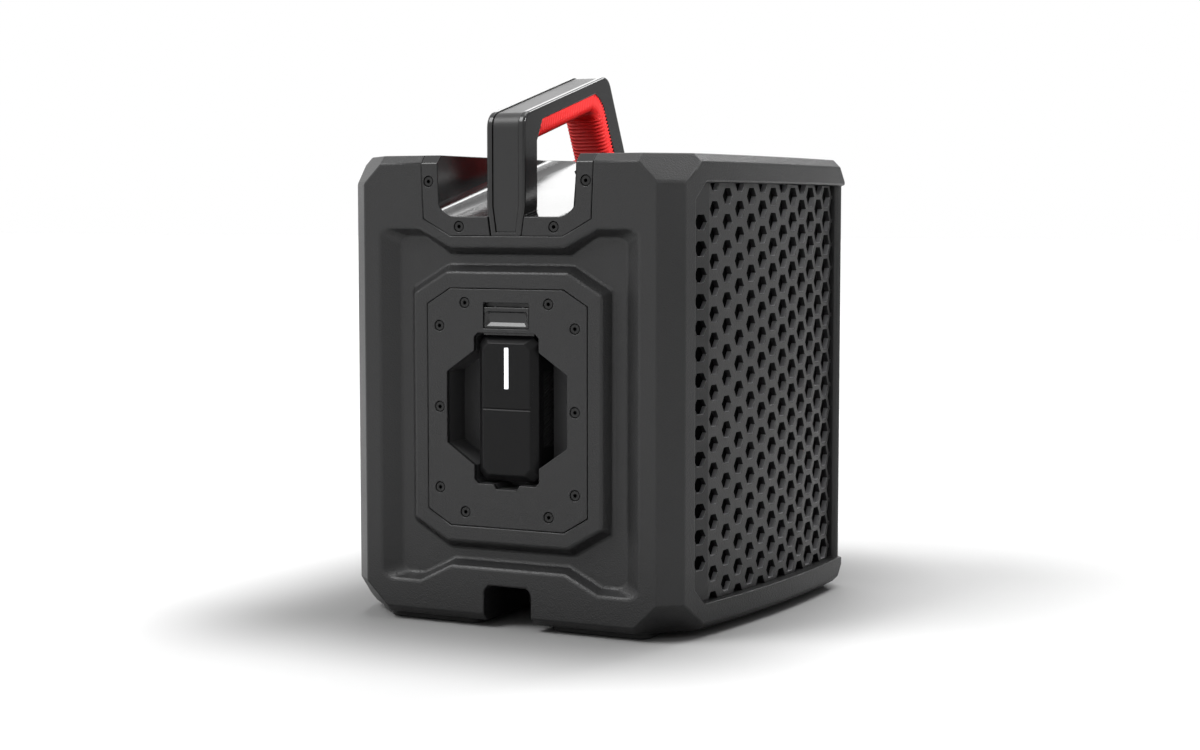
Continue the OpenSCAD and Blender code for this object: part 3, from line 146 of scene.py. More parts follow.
def make_grain():
    """Moulded grain: fine pits for height, flecks for colour, broad faint patches for colour and gloss."""
    tree, given, result = new_group("moulded_grain", {"Pits per metre": PITS, "Patches per metre": PATCHES},
                                    ["Height", "Patch", "Fleck"])
    place = add(tree, "TexCoord").outputs["Object"]
    pits = add(tree, "TexVoronoi", {"Vector": place, "Scale": given.outputs[0]}, feature="SMOOTH_F1")
    dust = add(tree, "TexNoise", {"Vector": place, "Scale": given.outputs[0], "Detail": 2.0})
    patch = add(tree, "TexNoise", {"Vector": place, "Scale": given.outputs[1], "Detail": 4.0})
    height = math_of(tree, "MULTIPLY_ADD", pits.outputs["Distance"], PIT_SHARE, dust.outputs[0])
    tree.links.new(height, result.inputs["Height"])
    tree.links.new(patch.outputs[0], result.inputs["Patch"])
    tree.links.new(dust.outputs[0], result.inputs["Fleck"])
    return tree


def make_brushing():
    """Drawn metal: long fine lines along X, with soft patches."""
    tree, given, result = new_group("drawn_lines", {"Lines per metre": LINES}, ["Line", "Patch"])
    place = add(tree, "TexCoord").outputs["Object"]
    drawn = add(tree, "Mapping", {"Vector": place, "Scale": (LINE_STRETCH, 1.0, 1.0)}).outputs[0]
    line = add(tree, "TexNoise", {"Vector": drawn, "Scale": given.outputs[0], "Detail": 3.0})
    patch = add(tree, "TexNoise", {"Vector": place, "Scale": LINE_PATCHES, "Detail": 3.0})
    tree.links.new(line.outputs[0], result.inputs["Line"])
    tree.links.new(patch.outputs[0], result.inputs["Patch"])
    return tree


def make_weave():
    """Plain weave on the cloth's own map: threads over and under, as a height."""
    tree, given, result = new_group("plain_weave", {"Threads per metre": THREADS}, ["Height"])
    split = add(tree, "SeparateXYZ", {0: add(tree, "TexCoord").outputs["UV"]})
    turns = math_of(tree, "MULTIPLY", given.outputs[0], math.pi)
    across = math_of(tree, "SINE", math_of(tree, "MULTIPLY", split.outputs[0], turns))
    along = math_of(tree, "SINE", math_of(tree, "MULTIPLY", split.outputs[1], turns))
    over = math_of(tree, "MULTIPLY_ADD", math_of(tree, "MULTIPLY", across, along), 0.25, 0.5)
    threads = math_of(tree, "MAXIMUM", math_of(tree, "ABSOLUTE", across), math_of(tree, "ABSOLUTE", along))
    tree.links.new(math_of(tree, "MULTIPLY", threads, over), result.inputs["Height"])
    return tree


GRAIN = make_grain()
BRUSHING = make_brushing()
WEAVE = make_weave()


# Finishes

CHARCOAL = (0.018, 0.018, 0.0185)
BLACK = (0.012, 0.012, 0.012)
ROUGH_SPREAD = 0.12
METAL_ROUGH_SPREAD = 0.2
LINE_DARK = 0.8
LINE_LIGHT = 1.15
LINE_DEPTH = 0.00005
THREAD_GAP = (0.001, 0.001, 0.001, 1)
THREAD_TOP = (0.006, 0.006, 0.006, 1)
THREAD_DEPTH = 0.0003
COOL_GLOW = (0.92, 0.95, 1.0, 1)
WHITE = (1, 1, 1, 1)


def shade(color, factor):
    return (*(min(1.0, part * factor) for part in color), 1.0)


def new_finish(name):
    finish = bpy.data.materials.new(name)
    finish.use_nodes = True
    return finish, finish.node_tree, finish.node_tree.nodes["Principled BSDF"]


def set_shader(shader, values):
    for name, value in values.items():
        shader.inputs[name].default_value = value


def moulded(name, color, rough, pits, depth, contrast=0.12, **shader_values):
    """Moulded plastic or rubber: pits in its height, flecks in its colour, patches in colour and gloss."""
    finish, tree, shader = new_finish(name)
    grain = add(tree, "Group", node_tree=GRAIN)
    grain.inputs["Pits per metre"].default_value = pits
    tint = math_of(tree, "MULTIPLY_ADD", grain.outputs["Patch"], 0.5,
                   math_of(tree, "MULTIPLY", grain.outputs["Fleck"], 0.5))
    tree.links.new(mix_of(tree, tint, shade(color, 1 - contrast), shade(color, 1 + contrast)),
                   shader.inputs["Base Color"])
    least = rough - ROUGH_SPREAD / 2
    tree.links.new(math_of(tree, "MULTIPLY_ADD", grain.outputs["Patch"], ROUGH_SPREAD, least),
                   shader.inputs["Roughness"])
    bump = add(tree, "Bump", {"Strength": 1.0, "Distance": depth, "Height": grain.outputs["Height"]})
    tree.links.new(bump.outputs[0], shader.inputs["Normal"])
    set_shader(shader, {name.replace("_", " "): value for name, value in shader_values.items()})
    return finish


def drawn_metal(name, color, rough, lines=LINES):
    """Bare or plated metal with fine drawn lines in its colour and height."""
    finish, tree, shader = new_finish(name)
    brushed = add(tree, "Group", node_tree=BRUSHING)
    brushed.inputs[0].default_value = lines
    tint = mix_of(tree, brushed.outputs["Line"], shade(color, LINE_DARK), shade(color, LINE_LIGHT))
    tree.links.new(tint, shader.inputs["Base Color"])
    least = rough - METAL_ROUGH_SPREAD / 2
    tree.links.new(math_of(tree, "MULTIPLY_ADD", brushed.outputs["Patch"], METAL_ROUGH_SPREAD, least),
                   shader.inputs["Roughness"])
    bump = add(tree, "Bump", {"Strength": 0.3, "Distance": LINE_DEPTH, "Height": brushed.outputs["Line"]})
    tree.links.new(bump.outputs[0], shader.inputs["Normal"])
    shader.inputs["Metallic"].default_value = 1.0
    return finish


def speaker_cloth(name):
    """Black acoustic cloth: woven threads in height and colour."""
    finish, tree, shader = new_finish(name)
    weave = add(tree, "Group", node_tree=WEAVE)
    tint = mix_of(tree, weave.outputs["Height"], THREAD_GAP, THREAD_TOP)
    tree.links.new(tint, shader.inputs["Base Color"])
    bump = add(tree, "Bump", {"Strength": 0.8, "Distance": THREAD_DEPTH, "Height": weave.outputs["Height"]})
    tree.links.new(bump.outputs[0], shader.inputs["Normal"])
    set_shader(shader, {"Roughness": 0.95, "Specular IOR Level": 0.05})
    return finish


def charge_light(name):
    """Diffusing light window, lit white."""
    finish, tree, shader = new_finish(name)
    grain = add(tree, "Group", node_tree=GRAIN)
    glow = mix_of(tree, grain.outputs["Patch"], COOL_GLOW, WHITE)
    tree.links.new(glow, shader.inputs["Base Color"])
    tree.links.new(glow, shader.inputs["Emission Color"])
    set_shader(shader, {"Emission Strength": 1.2, "Roughness": 0.3})
    return finish


FINISHES = {
    "body_plastic": moulded("body_plastic", CHARCOAL, rough=0.42, pits=950.0, depth=0.00022),
    "grille_plastic": moulded("grille_plastic", CHARCOAL, rough=0.44, pits=950.0, depth=0.00014),
    "cradle_satin": moulded("cradle_satin", CHARCOAL, rough=0.17, pits=900.0, depth=0.000004),
    "handle_black": moulded("handle_black", CHARCOAL, rough=0.2, pits=900.0, depth=0.00002),
    "inlay_black": moulded("inlay_black", CHARCOAL, rough=0.42, pits=900.0, depth=0.00002),
    "grip_red": moulded("grip_red", (1.0, 0.022, 0.022), rough=0.45, pits=700.0, depth=0.00004,
                        contrast=0.04),
    "screw_black": moulded("screw_black", BLACK, rough=0.36, pits=2500.0, depth=0.00002,
                           Specular_IOR_Level=0.38),
    "steel": drawn_metal("steel", (0.2, 0.2, 0.21), rough=0.4),
    # Painted light: the bay is coloured paler than the body's charcoal so that its shaded hollow reads
    # lighter
    "bay_black": moulded("bay_black", (0.08, 0.08, 0.082), rough=0.5, pits=1100.0, depth=0.00008,
                         Specular_IOR_Level=0.4),
    "pack_black": moulded("pack_black", (0.009, 0.009, 0.0095), rough=0.4, pits=1300.0, depth=0.00003,
                          Specular_IOR_Level=0.18),
    "light_white": charge_light("light_white"),
    "cell_wrap": moulded("cell_wrap", (0.1, 0.2, 0.38), rough=0.3, pits=500.0, depth=0.00002),
    "board_green": moulded("board_green", (0.02, 0.09, 0.05), rough=0.4, pits=600.0, depth=0.00003),
    "contact_gold": drawn_metal("contact_gold", (0.8, 0.6, 0.25), rough=0.3),
    "cloth_black": speaker_cloth("cloth_black"),
    "basket_black": moulded("basket_black", (0.025, 0.025, 0.026), rough=0.5, pits=900.0, depth=0.00006),
    "cone_grey": moulded("cone_grey", (0.03, 0.03, 0.032), rough=0.6, pits=600.0, depth=0.00008),
    "rubber_black": moulded("rubber_black", BLACK, rough=0.7, pits=1500.0, depth=0.00008),
    "sink_metal": drawn_metal("sink_metal", (0.6, 0.6, 0.61), rough=0.35, lines=1200.0),
}
# Painted light: a pale grey for the upward-facing walls of the grille holes, standing in for the light that
# falls on them
PAINTED_LIGHT_WALL_FINISH = moulded("hole_wall_painted_light", (0.4, 0.4, 0.41), rough=0.6, pits=1200.0, depth=0.00006,
                      Specular_IOR_Level=0.2)
SIGN_FINISH = moulded("sign_pale", (0.6, 0.6, 0.6), rough=0.5, pits=1500.0, depth=0.00001, contrast=0.05)
for node, part in NODES.items():
    part.data.materials.clear()
    part.data.materials.append(FINISHES[SLOT_OF[node]])


# Pieces

FLAT_ANGLE = math.radians(0.6)
SHARP_ANGLE = math.radians(25)
JOIN_ANGLE = math.radians(1)
JOIN_SKEW = math.radians(80)
WELD = 0.002
NEAR = 0.5
MARGIN = 1.0
ALONG_AXIS = 0.9


def new_piece(name, shape, node, finish=None):
    """A new piece made from a bmesh, finished like the CAD node that it stands for or sits on."""
    mesh = bpy.data.meshes.new(name)
    shape.to_mesh(mesh)
    shape.free()
    piece = bpy.data.objects.new(name, mesh)
    bpy.context.scene.collection.objects.link(piece)
    mesh.materials.append(finish or FINISHES[SLOT_OF[node]])
    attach(piece, BODY_OF[node])
    return piece


def merged_copy(node, weld=WELD):
    """A CAD node's mesh with near points welded and its triangles joined into flat faces. Weld is in mm."""
    copy = bmesh.new()
    copy.from_mesh(NODES[node].data)
    bmesh.ops.remove_doubles(copy, verts=copy.verts, dist=weld * MM)
    bmesh.ops.dissolve_limit(copy, angle_limit=FLAT_ANGLE, verts=copy.verts, edges=copy.edges)
    return copy


def islands(shape):
    """The separate solids of a bmesh, each as its vertices."""
    left = set(shape.verts)
    while left:
        found = [left.pop()]
        for vert in found:
            near = {edge.other_vert(vert) for edge in vert.link_edges} & left
            left -= near
            found.extend(near)
        yield found


def in_mm(place):
    """A place in millimetres, with Y from the rear face."""
    return Vector((place.x, place.y - REAR, place.z)) / MM


def middle(edge):
    return in_mm((edge.verts[0].co + edge.verts[1].co) / 2)


def runs_in_depth(edge):
    """Whether an edge runs from front to rear."""
    along = (edge.verts[0].co - edge.verts[1].co).normalized()
    return abs(along.y) > ALONG_AXIS


def verts_of(made):
    return [part for part in made if isinstance(part, bmesh.types.BMVert)]


def smooth(shape):
    for face in shape.faces:
        face.smooth = True


def rounded(node, most, width_of=None, segments=3, weld=WELD, prepare=None):
    """Stands for a CAD node: its shape with its sharp edges rounded.

    The rounding is width_of(edge), or most for all edges, in millimetres.
    """
    copy = merged_copy(node, weld)
    if prepare:
        prepare(copy)
    weight = copy.edges.layers.float.new("bevel_weight_edge")
    for edge in copy.edges:
        if edge.is_manifold and edge.calc_face_angle() > SHARP_ANGLE:
            edge[weight] = (width_of(edge) if width_of else most) / most
    smooth(copy)
    piece = new_piece(node + "_moulded", copy, node)
    piece.data.set_sharp_from_angle(angle=SHARP_ANGLE)
    bevel = piece.modifiers.new("edges", "BEVEL")
    bevel.width = most * MM
    bevel.segments = segments
    bevel.limit_method = "WEIGHT"
    bevel.use_clamp_overlap = False
    bevel.loop_slide = False
    bevel.miter_outer = "MITER_ARC"
    flat = piece.modifiers.new("flat_faces", "WEIGHTED_NORMAL")
    flat.keep_sharp = True
    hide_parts(node)
    return piece


def split_faces(shape):
    """Splits faces with many corners into triangles and quads."""
    many = [face for face in shape.faces if len(face.verts) > 4]
    bmesh.ops.triangulate(shape, faces=many, quad_method="BEAUTY", ngon_method="BEAUTY")
    bmesh.ops.join_triangles(shape, faces=shape.faces, angle_face_threshold=JOIN_ANGLE,
                             angle_shape_threshold=JOIN_SKEW)


# Grilles: crisp rims, and painted light on the lower walls of the holes, which face up: a paler grey where
# light would fall on them

HOLE_RIM = 0.2
WALL_LEAN = 0.5
LOWER_WALL = 0.2


def make_grille(node, toward):
    """Stands for a grille that faces along toward or against it."""
    def mark_painted_light_walls(shape):
        split_faces(shape)
        shape.normal_update()
        for face in shape.faces:
            # Painted light: the walls of the holes that face up take the pale grey
            is_wall = abs(face.normal.dot(toward)) < WALL_LEAN
            face.material_index = int(is_wall and face.normal.z > LOWER_WALL)
    rounded(node, HOLE_RIM, prepare=mark_painted_light_walls).data.materials.append(PAINTED_LIGHT_WALL_FINISH)


# Cradle: a glossy trough with a rounded bottom, and a flange finished like the body

BODY_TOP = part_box("control_panel")[1].z / MM
TROUGH_ROUND = 3.6
CRADLE_EDGE = 0.7


def mark_flange(shape):
    shape.normal_update()
    for face in shape.faces:
        on_top = in_mm(face.calc_center_median()).z > BODY_TOP - NEAR
        face.material_index = int(face.normal.y < -ALONG_AXIS or on_top)


def cradle_width(edge):
    return TROUGH_ROUND if runs_in_depth(edge) and not edge.is_convex else CRADLE_EDGE


def make_cradle():
    piece = rounded("handle_cradle", TROUGH_ROUND, cradle_width, segments=5, prepare=mark_flange)
    piece.data.materials.append(FINISHES["body_plastic"])


# Body shell: soft edges in the sunken panel, crisper ones outside, none inside

BAY_Z = (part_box("battery_bezel")[0].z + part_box("battery_bezel")[1].z) / 2 / MM
BEZEL_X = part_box("battery_bezel")[1].x / MM
BEZEL_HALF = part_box("battery_bezel")[1].z / MM - BAY_Z
FLANGE_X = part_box("handle_cradle")[1].x / MM
FLANGE_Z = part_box("handle_cradle")[0].z / MM
PANEL_X = 104.0
PANEL_TOP = 288.0
PANEL_FOOT = 30.5
PANEL_DEPTH = 9.0
PANEL_SIDE_SLOPE = 4.0
PANEL_END_SLOPE = 1.2
PANEL_ROUND = 1.8
PANEL_CORNER = 6.0
PANEL_CORNER_X = 92.0
SEAM_ROUND = 0.9
SEAM_DEPTH = 0.2
LIP_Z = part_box("grille_front")[1].z / MM
LIP_ROUND = 1.7
POST_X = 150.0
POST_Y = 265.0
POST_REACH = 5.0
POST_SLACK = 0.3
POST_SHIFT = 2.5
POST_ROUND = 4.0
OUTER_ROUND = 1.0
INSIDE_X = 118.0
INSIDE_FLARE = 0.105
INSIDE_FLARE_Y = 32.0
INSIDE_Y = (15.0, 262.0)
INSIDE_Z = (10.6, 334.4)
SHELL_WELD = 0.12


def shell_width(edge):
    at = middle(edge)
    x = abs(at.x)
    deep = max(in_mm(vert.co).y for vert in edge.verts)
    if deep < PANEL_DEPTH + MARGIN:
        in_bezel = x < BEZEL_X + MARGIN and abs(at.z - BAY_Z) < BEZEL_HALF + MARGIN
        in_flange = x < FLANGE_X + MARGIN and at.z > FLANGE_Z - MARGIN
        if in_bezel or in_flange:
            return SEAM_ROUND if deep < SEAM_DEPTH else 0.0
        in_height = PANEL_FOOT - PANEL_END_SLOPE < at.z < PANEL_TOP + PANEL_END_SLOPE
        return PANEL_ROUND if in_height and x < PANEL_X + PANEL_SIDE_SLOPE else OUTER_ROUND
    within_sides = x < INSIDE_X + (at.y - INSIDE_FLARE_Y) * INSIDE_FLARE
    if within_sides and INSIDE_Y[0] < at.y < INSIDE_Y[1] and INSIDE_Z[0] < at.z < INSIDE_Z[1]:
        return 0.0
    if edge.is_convex and abs(at.z - LIP_Z) < NEAR:
        return LIP_ROUND
    if edge.is_convex and x > POST_X and abs(at.y - POST_Y + POST_SHIFT) < NEAR:
        return POST_ROUND
    return OUTER_ROUND


def shape_shell(shell):
    """Rounds the plan corners of the sunken panel, and broadens the front posts for their rounding."""
    for vert in shell.verts:
        at = in_mm(vert.co)
        if abs(at.x) > POST_X - POST_REACH and abs(at.y - POST_Y) < POST_SLACK:
            vert.co.y -= POST_SHIFT * MM
    corners = []
    for edge in shell.edges:
        ends = [in_mm(vert.co) for vert in edge.verts]
        steep = abs(ends[0].y - ends[1].y) > PANEL_DEPTH - MARGIN
        shallow = max(end.y for end in ends) < PANEL_DEPTH + MARGIN
        if steep and shallow and abs(middle(edge).x) > PANEL_CORNER_X:
            corners.append(edge)
    bmesh.ops.bevel(shell, geom=corners, offset=PANEL_CORNER * MM, offset_type="OFFSET", segments=5,
                    profile=0.5, affect="EDGES", material=-1)


# Handle: broad rounding along its outside, fine edges round its inlay

HANDLE_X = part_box("handle_frame")[1].x / MM
HAND_GAP = Vector((0, 70, 335))
FOOT_LENGTH = 21
FOOT_KNEE = FLANGE_Z + FOOT_LENGTH
FOOT_DRAW = 3.1
FOOT_TAPER = FOOT_DRAW / FOOT_LENGTH
HANDLE_ROUND = 2.0
HAND_GAP_ROUND = 0.8
INLAY_GROOVE_ROUND = 0.35


def handle_width(edge):
    at = middle(edge)
    half = HANDLE_X - max(0.0, FOOT_KNEE - at.z) * FOOT_TAPER
    if abs(at.x) < half - NEAR:
        return INLAY_GROOVE_ROUND
    faces = sorted(edge.link_faces, key=lambda face: abs(face.normal.x))
    outside = faces[0].normal.dot(at - HAND_GAP) > 0
    return HANDLE_ROUND if outside else HAND_GAP_ROUND


# Latch: a slider with a sloped finger pocket, and a thin web over its spring

LATCH_CUT = 3.6
LATCH_FACE = 0.8
POCKET_WALL = 1.0
POCKET_FOOT = 0.6
POCKET_BAR = 2.1
POCKET_DEPTH = 2.0
POCKET_RUN = 2.3
POCKET_RISE = 2.8
POCKET_FALL = 0.9
POCKET_CORNER = 1.1
LATCH_EDGE = 0.4
WEB_FRONT = 0.22
WEB_BACK = 0.06
WEB_LIFT = 0.5


def drawn_out(shape, face, away):
    """Draws a face out along a vector and gives back its moved vertices."""
    made = bmesh.ops.extrude_face_region(shape, geom=[face])["geom"]
    bmesh.ops.delete(shape, geom=[face], context="FACES_ONLY")
    verts = verts_of(made)
    bmesh.ops.translate(shape, vec=away, verts=verts)
    return verts


def shift_rim(verts, side, foot, top):
    """Moves a rectangle's corners in from its sides, foot and top, in millimetres."""
    heart = sum(vert.co.z for vert in verts) / len(verts)
    for vert in verts:
        vert.co.x -= math.copysign(side * MM, vert.co.x)
        vert.co.z += (foot if vert.co.z < heart else -top) * MM


def carve_latch(latch):
    """Cuts the slider's face back and draws it out again with its pocket."""
    every = latch.verts[:] + latch.edges[:] + latch.faces[:]
    bmesh.ops.bisect_plane(latch, geom=every, plane_co=(0, REAR + LATCH_CUT * MM, 0),
                           plane_no=(0, -1, 0), clear_outer=True)
    rim = [edge for edge in latch.edges if edge.is_boundary]
    face = bmesh.ops.edgeloop_fill(latch, edges=rim)["faces"][0]
    front = drawn_out(latch, face, (0, (LATCH_FACE - LATCH_CUT) * MM, 0))
    face = next(face for face in front[0].link_faces if set(face.verts) == set(front))
    latch.normal_update()
    bmesh.ops.inset_region(latch, faces=[face], thickness=POCKET_WALL * MM)
    shift_rim(face.verts, 0.0, POCKET_FOOT, POCKET_BAR)
    floor = drawn_out(latch, face, (0, POCKET_DEPTH * MM, 0))
    shift_rim(floor, POCKET_RUN, POCKET_RISE, POCKET_FALL)
    corners = [edge for vert in floor for edge in vert.link_edges
               if abs(edge.verts[0].co.y - edge.verts[1].co.y) > POCKET_DEPTH / 2 * MM]
    bmesh.ops.bevel(latch, geom=corners, offset=POCKET_CORNER * MM, offset_type="OFFSET", segments=1,
                    profile=0.5, affect="EDGES", material=-1)
    bmesh.ops.recalc_face_normals(latch, faces=latch.faces)


def latch_width(edge):
    """Rounds the slider's edges, but not the step that meets the web."""
    return LATCH_EDGE if edge.is_convex or middle(edge).y < LATCH_CUT else 0.0


def make_latch_web():
    """A thin fixed web that hides the spring above the slider."""
    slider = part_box("latch_slider")
    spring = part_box("latch_spring")
    low = Vector((slider[0].x, spring[0].y - WEB_FRONT * MM, slider[1].z + WEB_LIFT * MM))
    high = Vector((slider[1].x, spring[0].y - WEB_BACK * MM, spring[1].z))
    web = bmesh.new()
    place = Matrix.Translation((low + high) / 2) @ Matrix.Diagonal((*(high - low), 1))
    bmesh.ops.create_cube(web, size=1.0, matrix=place)
    new_piece("latch_web", web, "battery_bezel")


def make_leaf_spring():
    """Stands for the latch's spring, a copy with a mesh of its own. The real spring flattens under the web
    as the latch goes up; this script does not bend it.
    """
    piece = new_piece("leaf_spring", merged_copy("latch_spring"), "latch_spring")
    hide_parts("latch_spring")
    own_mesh(piece)


# Battery light: a bar with round ends

LIGHT_END = 1.5
LIGHT_EDGE = 0.1


def light_width(edge):
    return LIGHT_END if runs_in_depth(edge) else LIGHT_EDGE


# Grip: a soft sleeve with ribs all round, swept along the bar and down the front leg

BAR_TURN = math.radians(14.2)
BAR_SLOPE = math.tan(BAR_TURN)
LEG_TURN = math.radians(27.6)
BAR_Z = 368.0
BAR_END = 138.0
BAR_WALL = 9.4
LEG_WALL = 18.5
GRIP_THICK = 13.2
GRIP_ROUND = 7.0
GRIP_CUT_BAR = 9.5
GRIP_CUT_LEG = 17.0
GRIP_CUT_PULL = 0.45
GRIP_CUT_STEPS = 12
GRIP_INNER_R = 9.0
GRIP_END_RUN = 8.0
GRIP_END_SLANT = 10.6
RIB_PITCH = 2.9
RIB_STEPS = 6
RIB_DEPTH = 1.3
SIDE_RIB_DEPTH = 0.25
TOOTH_DEPTH = 2.2
BAR_TOOTH_DEPTH = 0.05
TOOTHLESS_RIBS = 2
GRIP_CREASE = math.radians(50)
BAR_ALONG = Vector((0, math.cos(BAR_TURN), math.sin(BAR_TURN)))
LEG_ALONG = Vector((0, math.sin(LEG_TURN), -math.cos(LEG_TURN)))
BAR_IN = Vector((0, math.sin(BAR_TURN), -math.cos(BAR_TURN)))
LEG_IN = Vector((0, -math.cos(LEG_TURN), -math.sin(LEG_TURN)))


def handle_corner(bar_depth, leg_depth):
    """Where the bar's and the front leg's lines meet, each some depth inside the handle's outline."""
    peak = Vector((0, BAR_END, BAR_Z + BAR_END * BAR_SLOPE))
    start = peak + BAR_IN * bar_depth
    other = peak + LEG_IN * leg_depth
    step = (other - start).dot(LEG_IN) / BAR_ALONG.dot(LEG_IN)
    return start + BAR_ALONG * step


def bend_inside(corner, count):
    """Points round the grip's inner bend."""
    turn = BAR_ALONG.angle(LEG_ALONG)
    reach = GRIP_INNER_R / math.tan((math.pi - turn) / 2)
    heart = corner - BAR_ALONG * reach + BAR_IN * GRIP_INNER_R
    turns = [Matrix.Rotation(-turn * i / count, 3, "X") for i in range(count + 1)]
    return [heart - part @ BAR_IN * GRIP_INNER_R for part in turns]


def cut_corner(corner, span):
    """Points along the bar, over the grip's cut outer corner and down the leg."""
    bar = corner - BAR_ALONG * GRIP_CUT_BAR
    pull = corner + LEG_ALONG * GRIP_CUT_LEG * GRIP_CUT_PULL
    leg = corner + LEG_ALONG * GRIP_CUT_LEG
    steps = [i / GRIP_CUT_STEPS for i in range(GRIP_CUT_STEPS + 1)]
    curve = [bar.lerp(pull, t).lerp(pull.lerp(leg, t), t) for t in steps]
    return [corner - BAR_ALONG * span, *curve, corner + LEG_ALONG * span]


def length_of(points):
    return sum((b - a).length for a, b in zip(points, points[1:]))


def evenly(points, count):
    """Points spread evenly along a line of points."""
    step = length_of(points) / count
    spread = [points[0]]
    left = step
    for a, b in zip(points, points[1:]):
        long = (b - a).length
        run = left
        while run <= long + 1e-9 and len(spread) < count:
            spread.append(a.lerp(b, run / long))
            run += step
        left = run - long
    return spread + [points[-1]]


def grip_lines():
    """The grip's back line, against the frame, and its inner line, in step along bar, bend and leg."""
    back = handle_corner(BAR_WALL, LEG_WALL)
    inner = handle_corner(BAR_WALL + GRIP_THICK, LEG_WALL + GRIP_THICK)
    inner_reach = GRIP_INNER_R / math.tan((math.pi - BAR_ALONG.angle(LEG_ALONG)) / 2)
    span = (back - inner).dot(BAR_ALONG) + inner_reach
    low = in_mm(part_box("handle_grip")[0])
    bar_run = (inner.y - low.y) / BAR_ALONG.y - inner_reach
    leg_run = (low.z - inner.z) / LEG_ALONG.z - inner_reach
    step = RIB_PITCH / RIB_STEPS
    pairs = []
    count = round(bar_run / step)
    for i in range(count):
        run = bar_run * (1 - i / count)
        slant = max(0.0, 1 - i * step / GRIP_END_RUN) * GRIP_END_SLANT
        pairs.append((back - BAR_ALONG * (span + run - slant), inner - BAR_ALONG * (inner_reach + run)))
    on_bar = len(pairs)
    bend = cut_corner(back, span)
    count = round(length_of(bend) / step)
    pairs.extend(zip(evenly(bend, count), bend_inside(inner, count)))
    count = round(leg_run / step)
    for i in range(1, count + 1):
        run = leg_run * i / count
        pairs.append((back + LEG_ALONG * (span + run), inner + LEG_ALONG * (inner_reach + run)))
    return pairs, on_bar


def grip_section(shape):
    """One section of the grip at its full size: X across, Y from its back to its rounded inside."""
    outline = ((-HANDLE_X, 0), (HANDLE_X, 0), (HANDLE_X, GRIP_THICK), (-HANDLE_X, GRIP_THICK))
    corners = [shape.verts.new((x, y, 0)) for x, y in outline]
    shape.faces.new(corners)
    bmesh.ops.bevel(shape, geom=corners[2:], offset=GRIP_ROUND, offset_type="OFFSET", segments=6,
                    profile=0.5, affect="VERTICES", material=-1)


def swept(section, places):
    """Sweeps a flat section through its places, and keeps its two end caps."""
    shape = bmesh.new()
    section(shape)
    bmesh.ops.transform(shape, matrix=places[0], verts=shape.verts)
    loop = list(shape.edges)
    for before, after in zip(places, places[1:]):
        made = bmesh.ops.extrude_edge_only(shape, edges=loop)["geom"]
        verts = verts_of(made)
        ahead = set(verts)
        loop = [part for part in made if isinstance(part, bmesh.types.BMEdge) and set(part.verts) <= ahead]
        bmesh.ops.transform(shape, matrix=after @ before.inverted(), verts=verts)
    bmesh.ops.edgeloop_fill(shape, edges=loop)
    bmesh.ops.recalc_face_normals(shape, faces=shape.faces)
    return shape


def make_grip():
    """Stands for the grip: its section is drawn in at each groove between two ribs."""
    places = []
    pairs, on_bar = grip_lines()
    for i, (back, inner) in enumerate(pairs):
        groove = 0.5 - 0.5 * math.cos(2 * math.pi * i / RIB_STEPS)
        across = inner - back
        forward = Vector((1, 0, 0)).cross(across).normalized()
        toothed = i > on_bar + TOOTHLESS_RIBS * RIB_STEPS
        tooth = TOOTH_DEPTH * groove if toothed else BAR_TOOTH_DEPTH
        long = across.length - RIB_DEPTH * groove - tooth
        across.normalize()
        wide = 1 - SIDE_RIB_DEPTH * groove / HANDLE_X
        start = (back + across * tooth) * MM + Vector((0, REAR, 0))
        place = Matrix.Identity(4)
        place.col[0] = (wide * MM, 0, 0, 0)
        place.col[1] = (*(across * (long / GRIP_THICK * MM)), 0)
        place.col[2] = (*(forward * MM), 0)
        place.col[3] = (*start, 1)
        places.append(place)
    shape = swept(grip_section, places)
    smooth(shape)
    piece = new_piece("grip_sleeve", shape, "handle_grip")
    piece.data.set_sharp_from_angle(angle=GRIP_CREASE)
    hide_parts("handle_grip")


# Screws: round heads with hexagon sockets

HEAD_HEIGHT = 2.2
HEAD_RIM = 0.35
SHANK_R = 1.7
SCREW_SIDES = 24
SCREW_TURN = 0.9
SCREW_WELD = 0.001
SCREW_CREASE = math.radians(30)
SOCKET_FLATS = 2.6
SOCKET_DEPTH = 1.5


def screw_shape(head_r, length):
    """A screw along +Y from its head's face at the origin, in millimetres."""
    shape = bmesh.new()
    profile = [(head_r - HEAD_RIM, 0), (head_r, HEAD_RIM), (head_r, HEAD_HEIGHT), (SHANK_R, HEAD_HEIGHT),
               (SHANK_R, length), (0, length)]
    verts = [shape.verts.new((r, y, 0)) for r, y in profile]
    edges = [shape.edges.new(pair) for pair in zip(verts, verts[1:])]
    bmesh.ops.spin(shape, geom=verts + edges, axis=(0, 1, 0), cent=(0, 0, 0), angle=2 * math.pi,
                   steps=SCREW_SIDES, use_merge=True)
    bmesh.ops.remove_doubles(shape, verts=shape.verts, dist=SCREW_WELD)
    open_rim = [edge for edge in shape.edges if edge.is_boundary]
    flat = Matrix.Rotation(math.pi / 2, 4, "X")
    socket_r = SOCKET_FLATS / 2 / math.cos(math.pi / 6)
    socket = bmesh.ops.create_circle(shape, segments=6, radius=socket_r, matrix=flat)
    hexagon = list({edge for vert in socket["verts"] for edge in vert.link_edges})
    bmesh.ops.bridge_loops(shape, edges=open_rim + hexagon)
    made = bmesh.ops.extrude_edge_only(shape, edges=hexagon)["geom"]
    bmesh.ops.translate(shape, vec=(0, SOCKET_DEPTH, 0), verts=verts_of(made))
    bmesh.ops.edgeloop_fill(shape, edges=[edge for edge in shape.edges if edge.is_boundary])
    bmesh.ops.recalc_face_normals(shape, faces=shape.faces)
    return shape


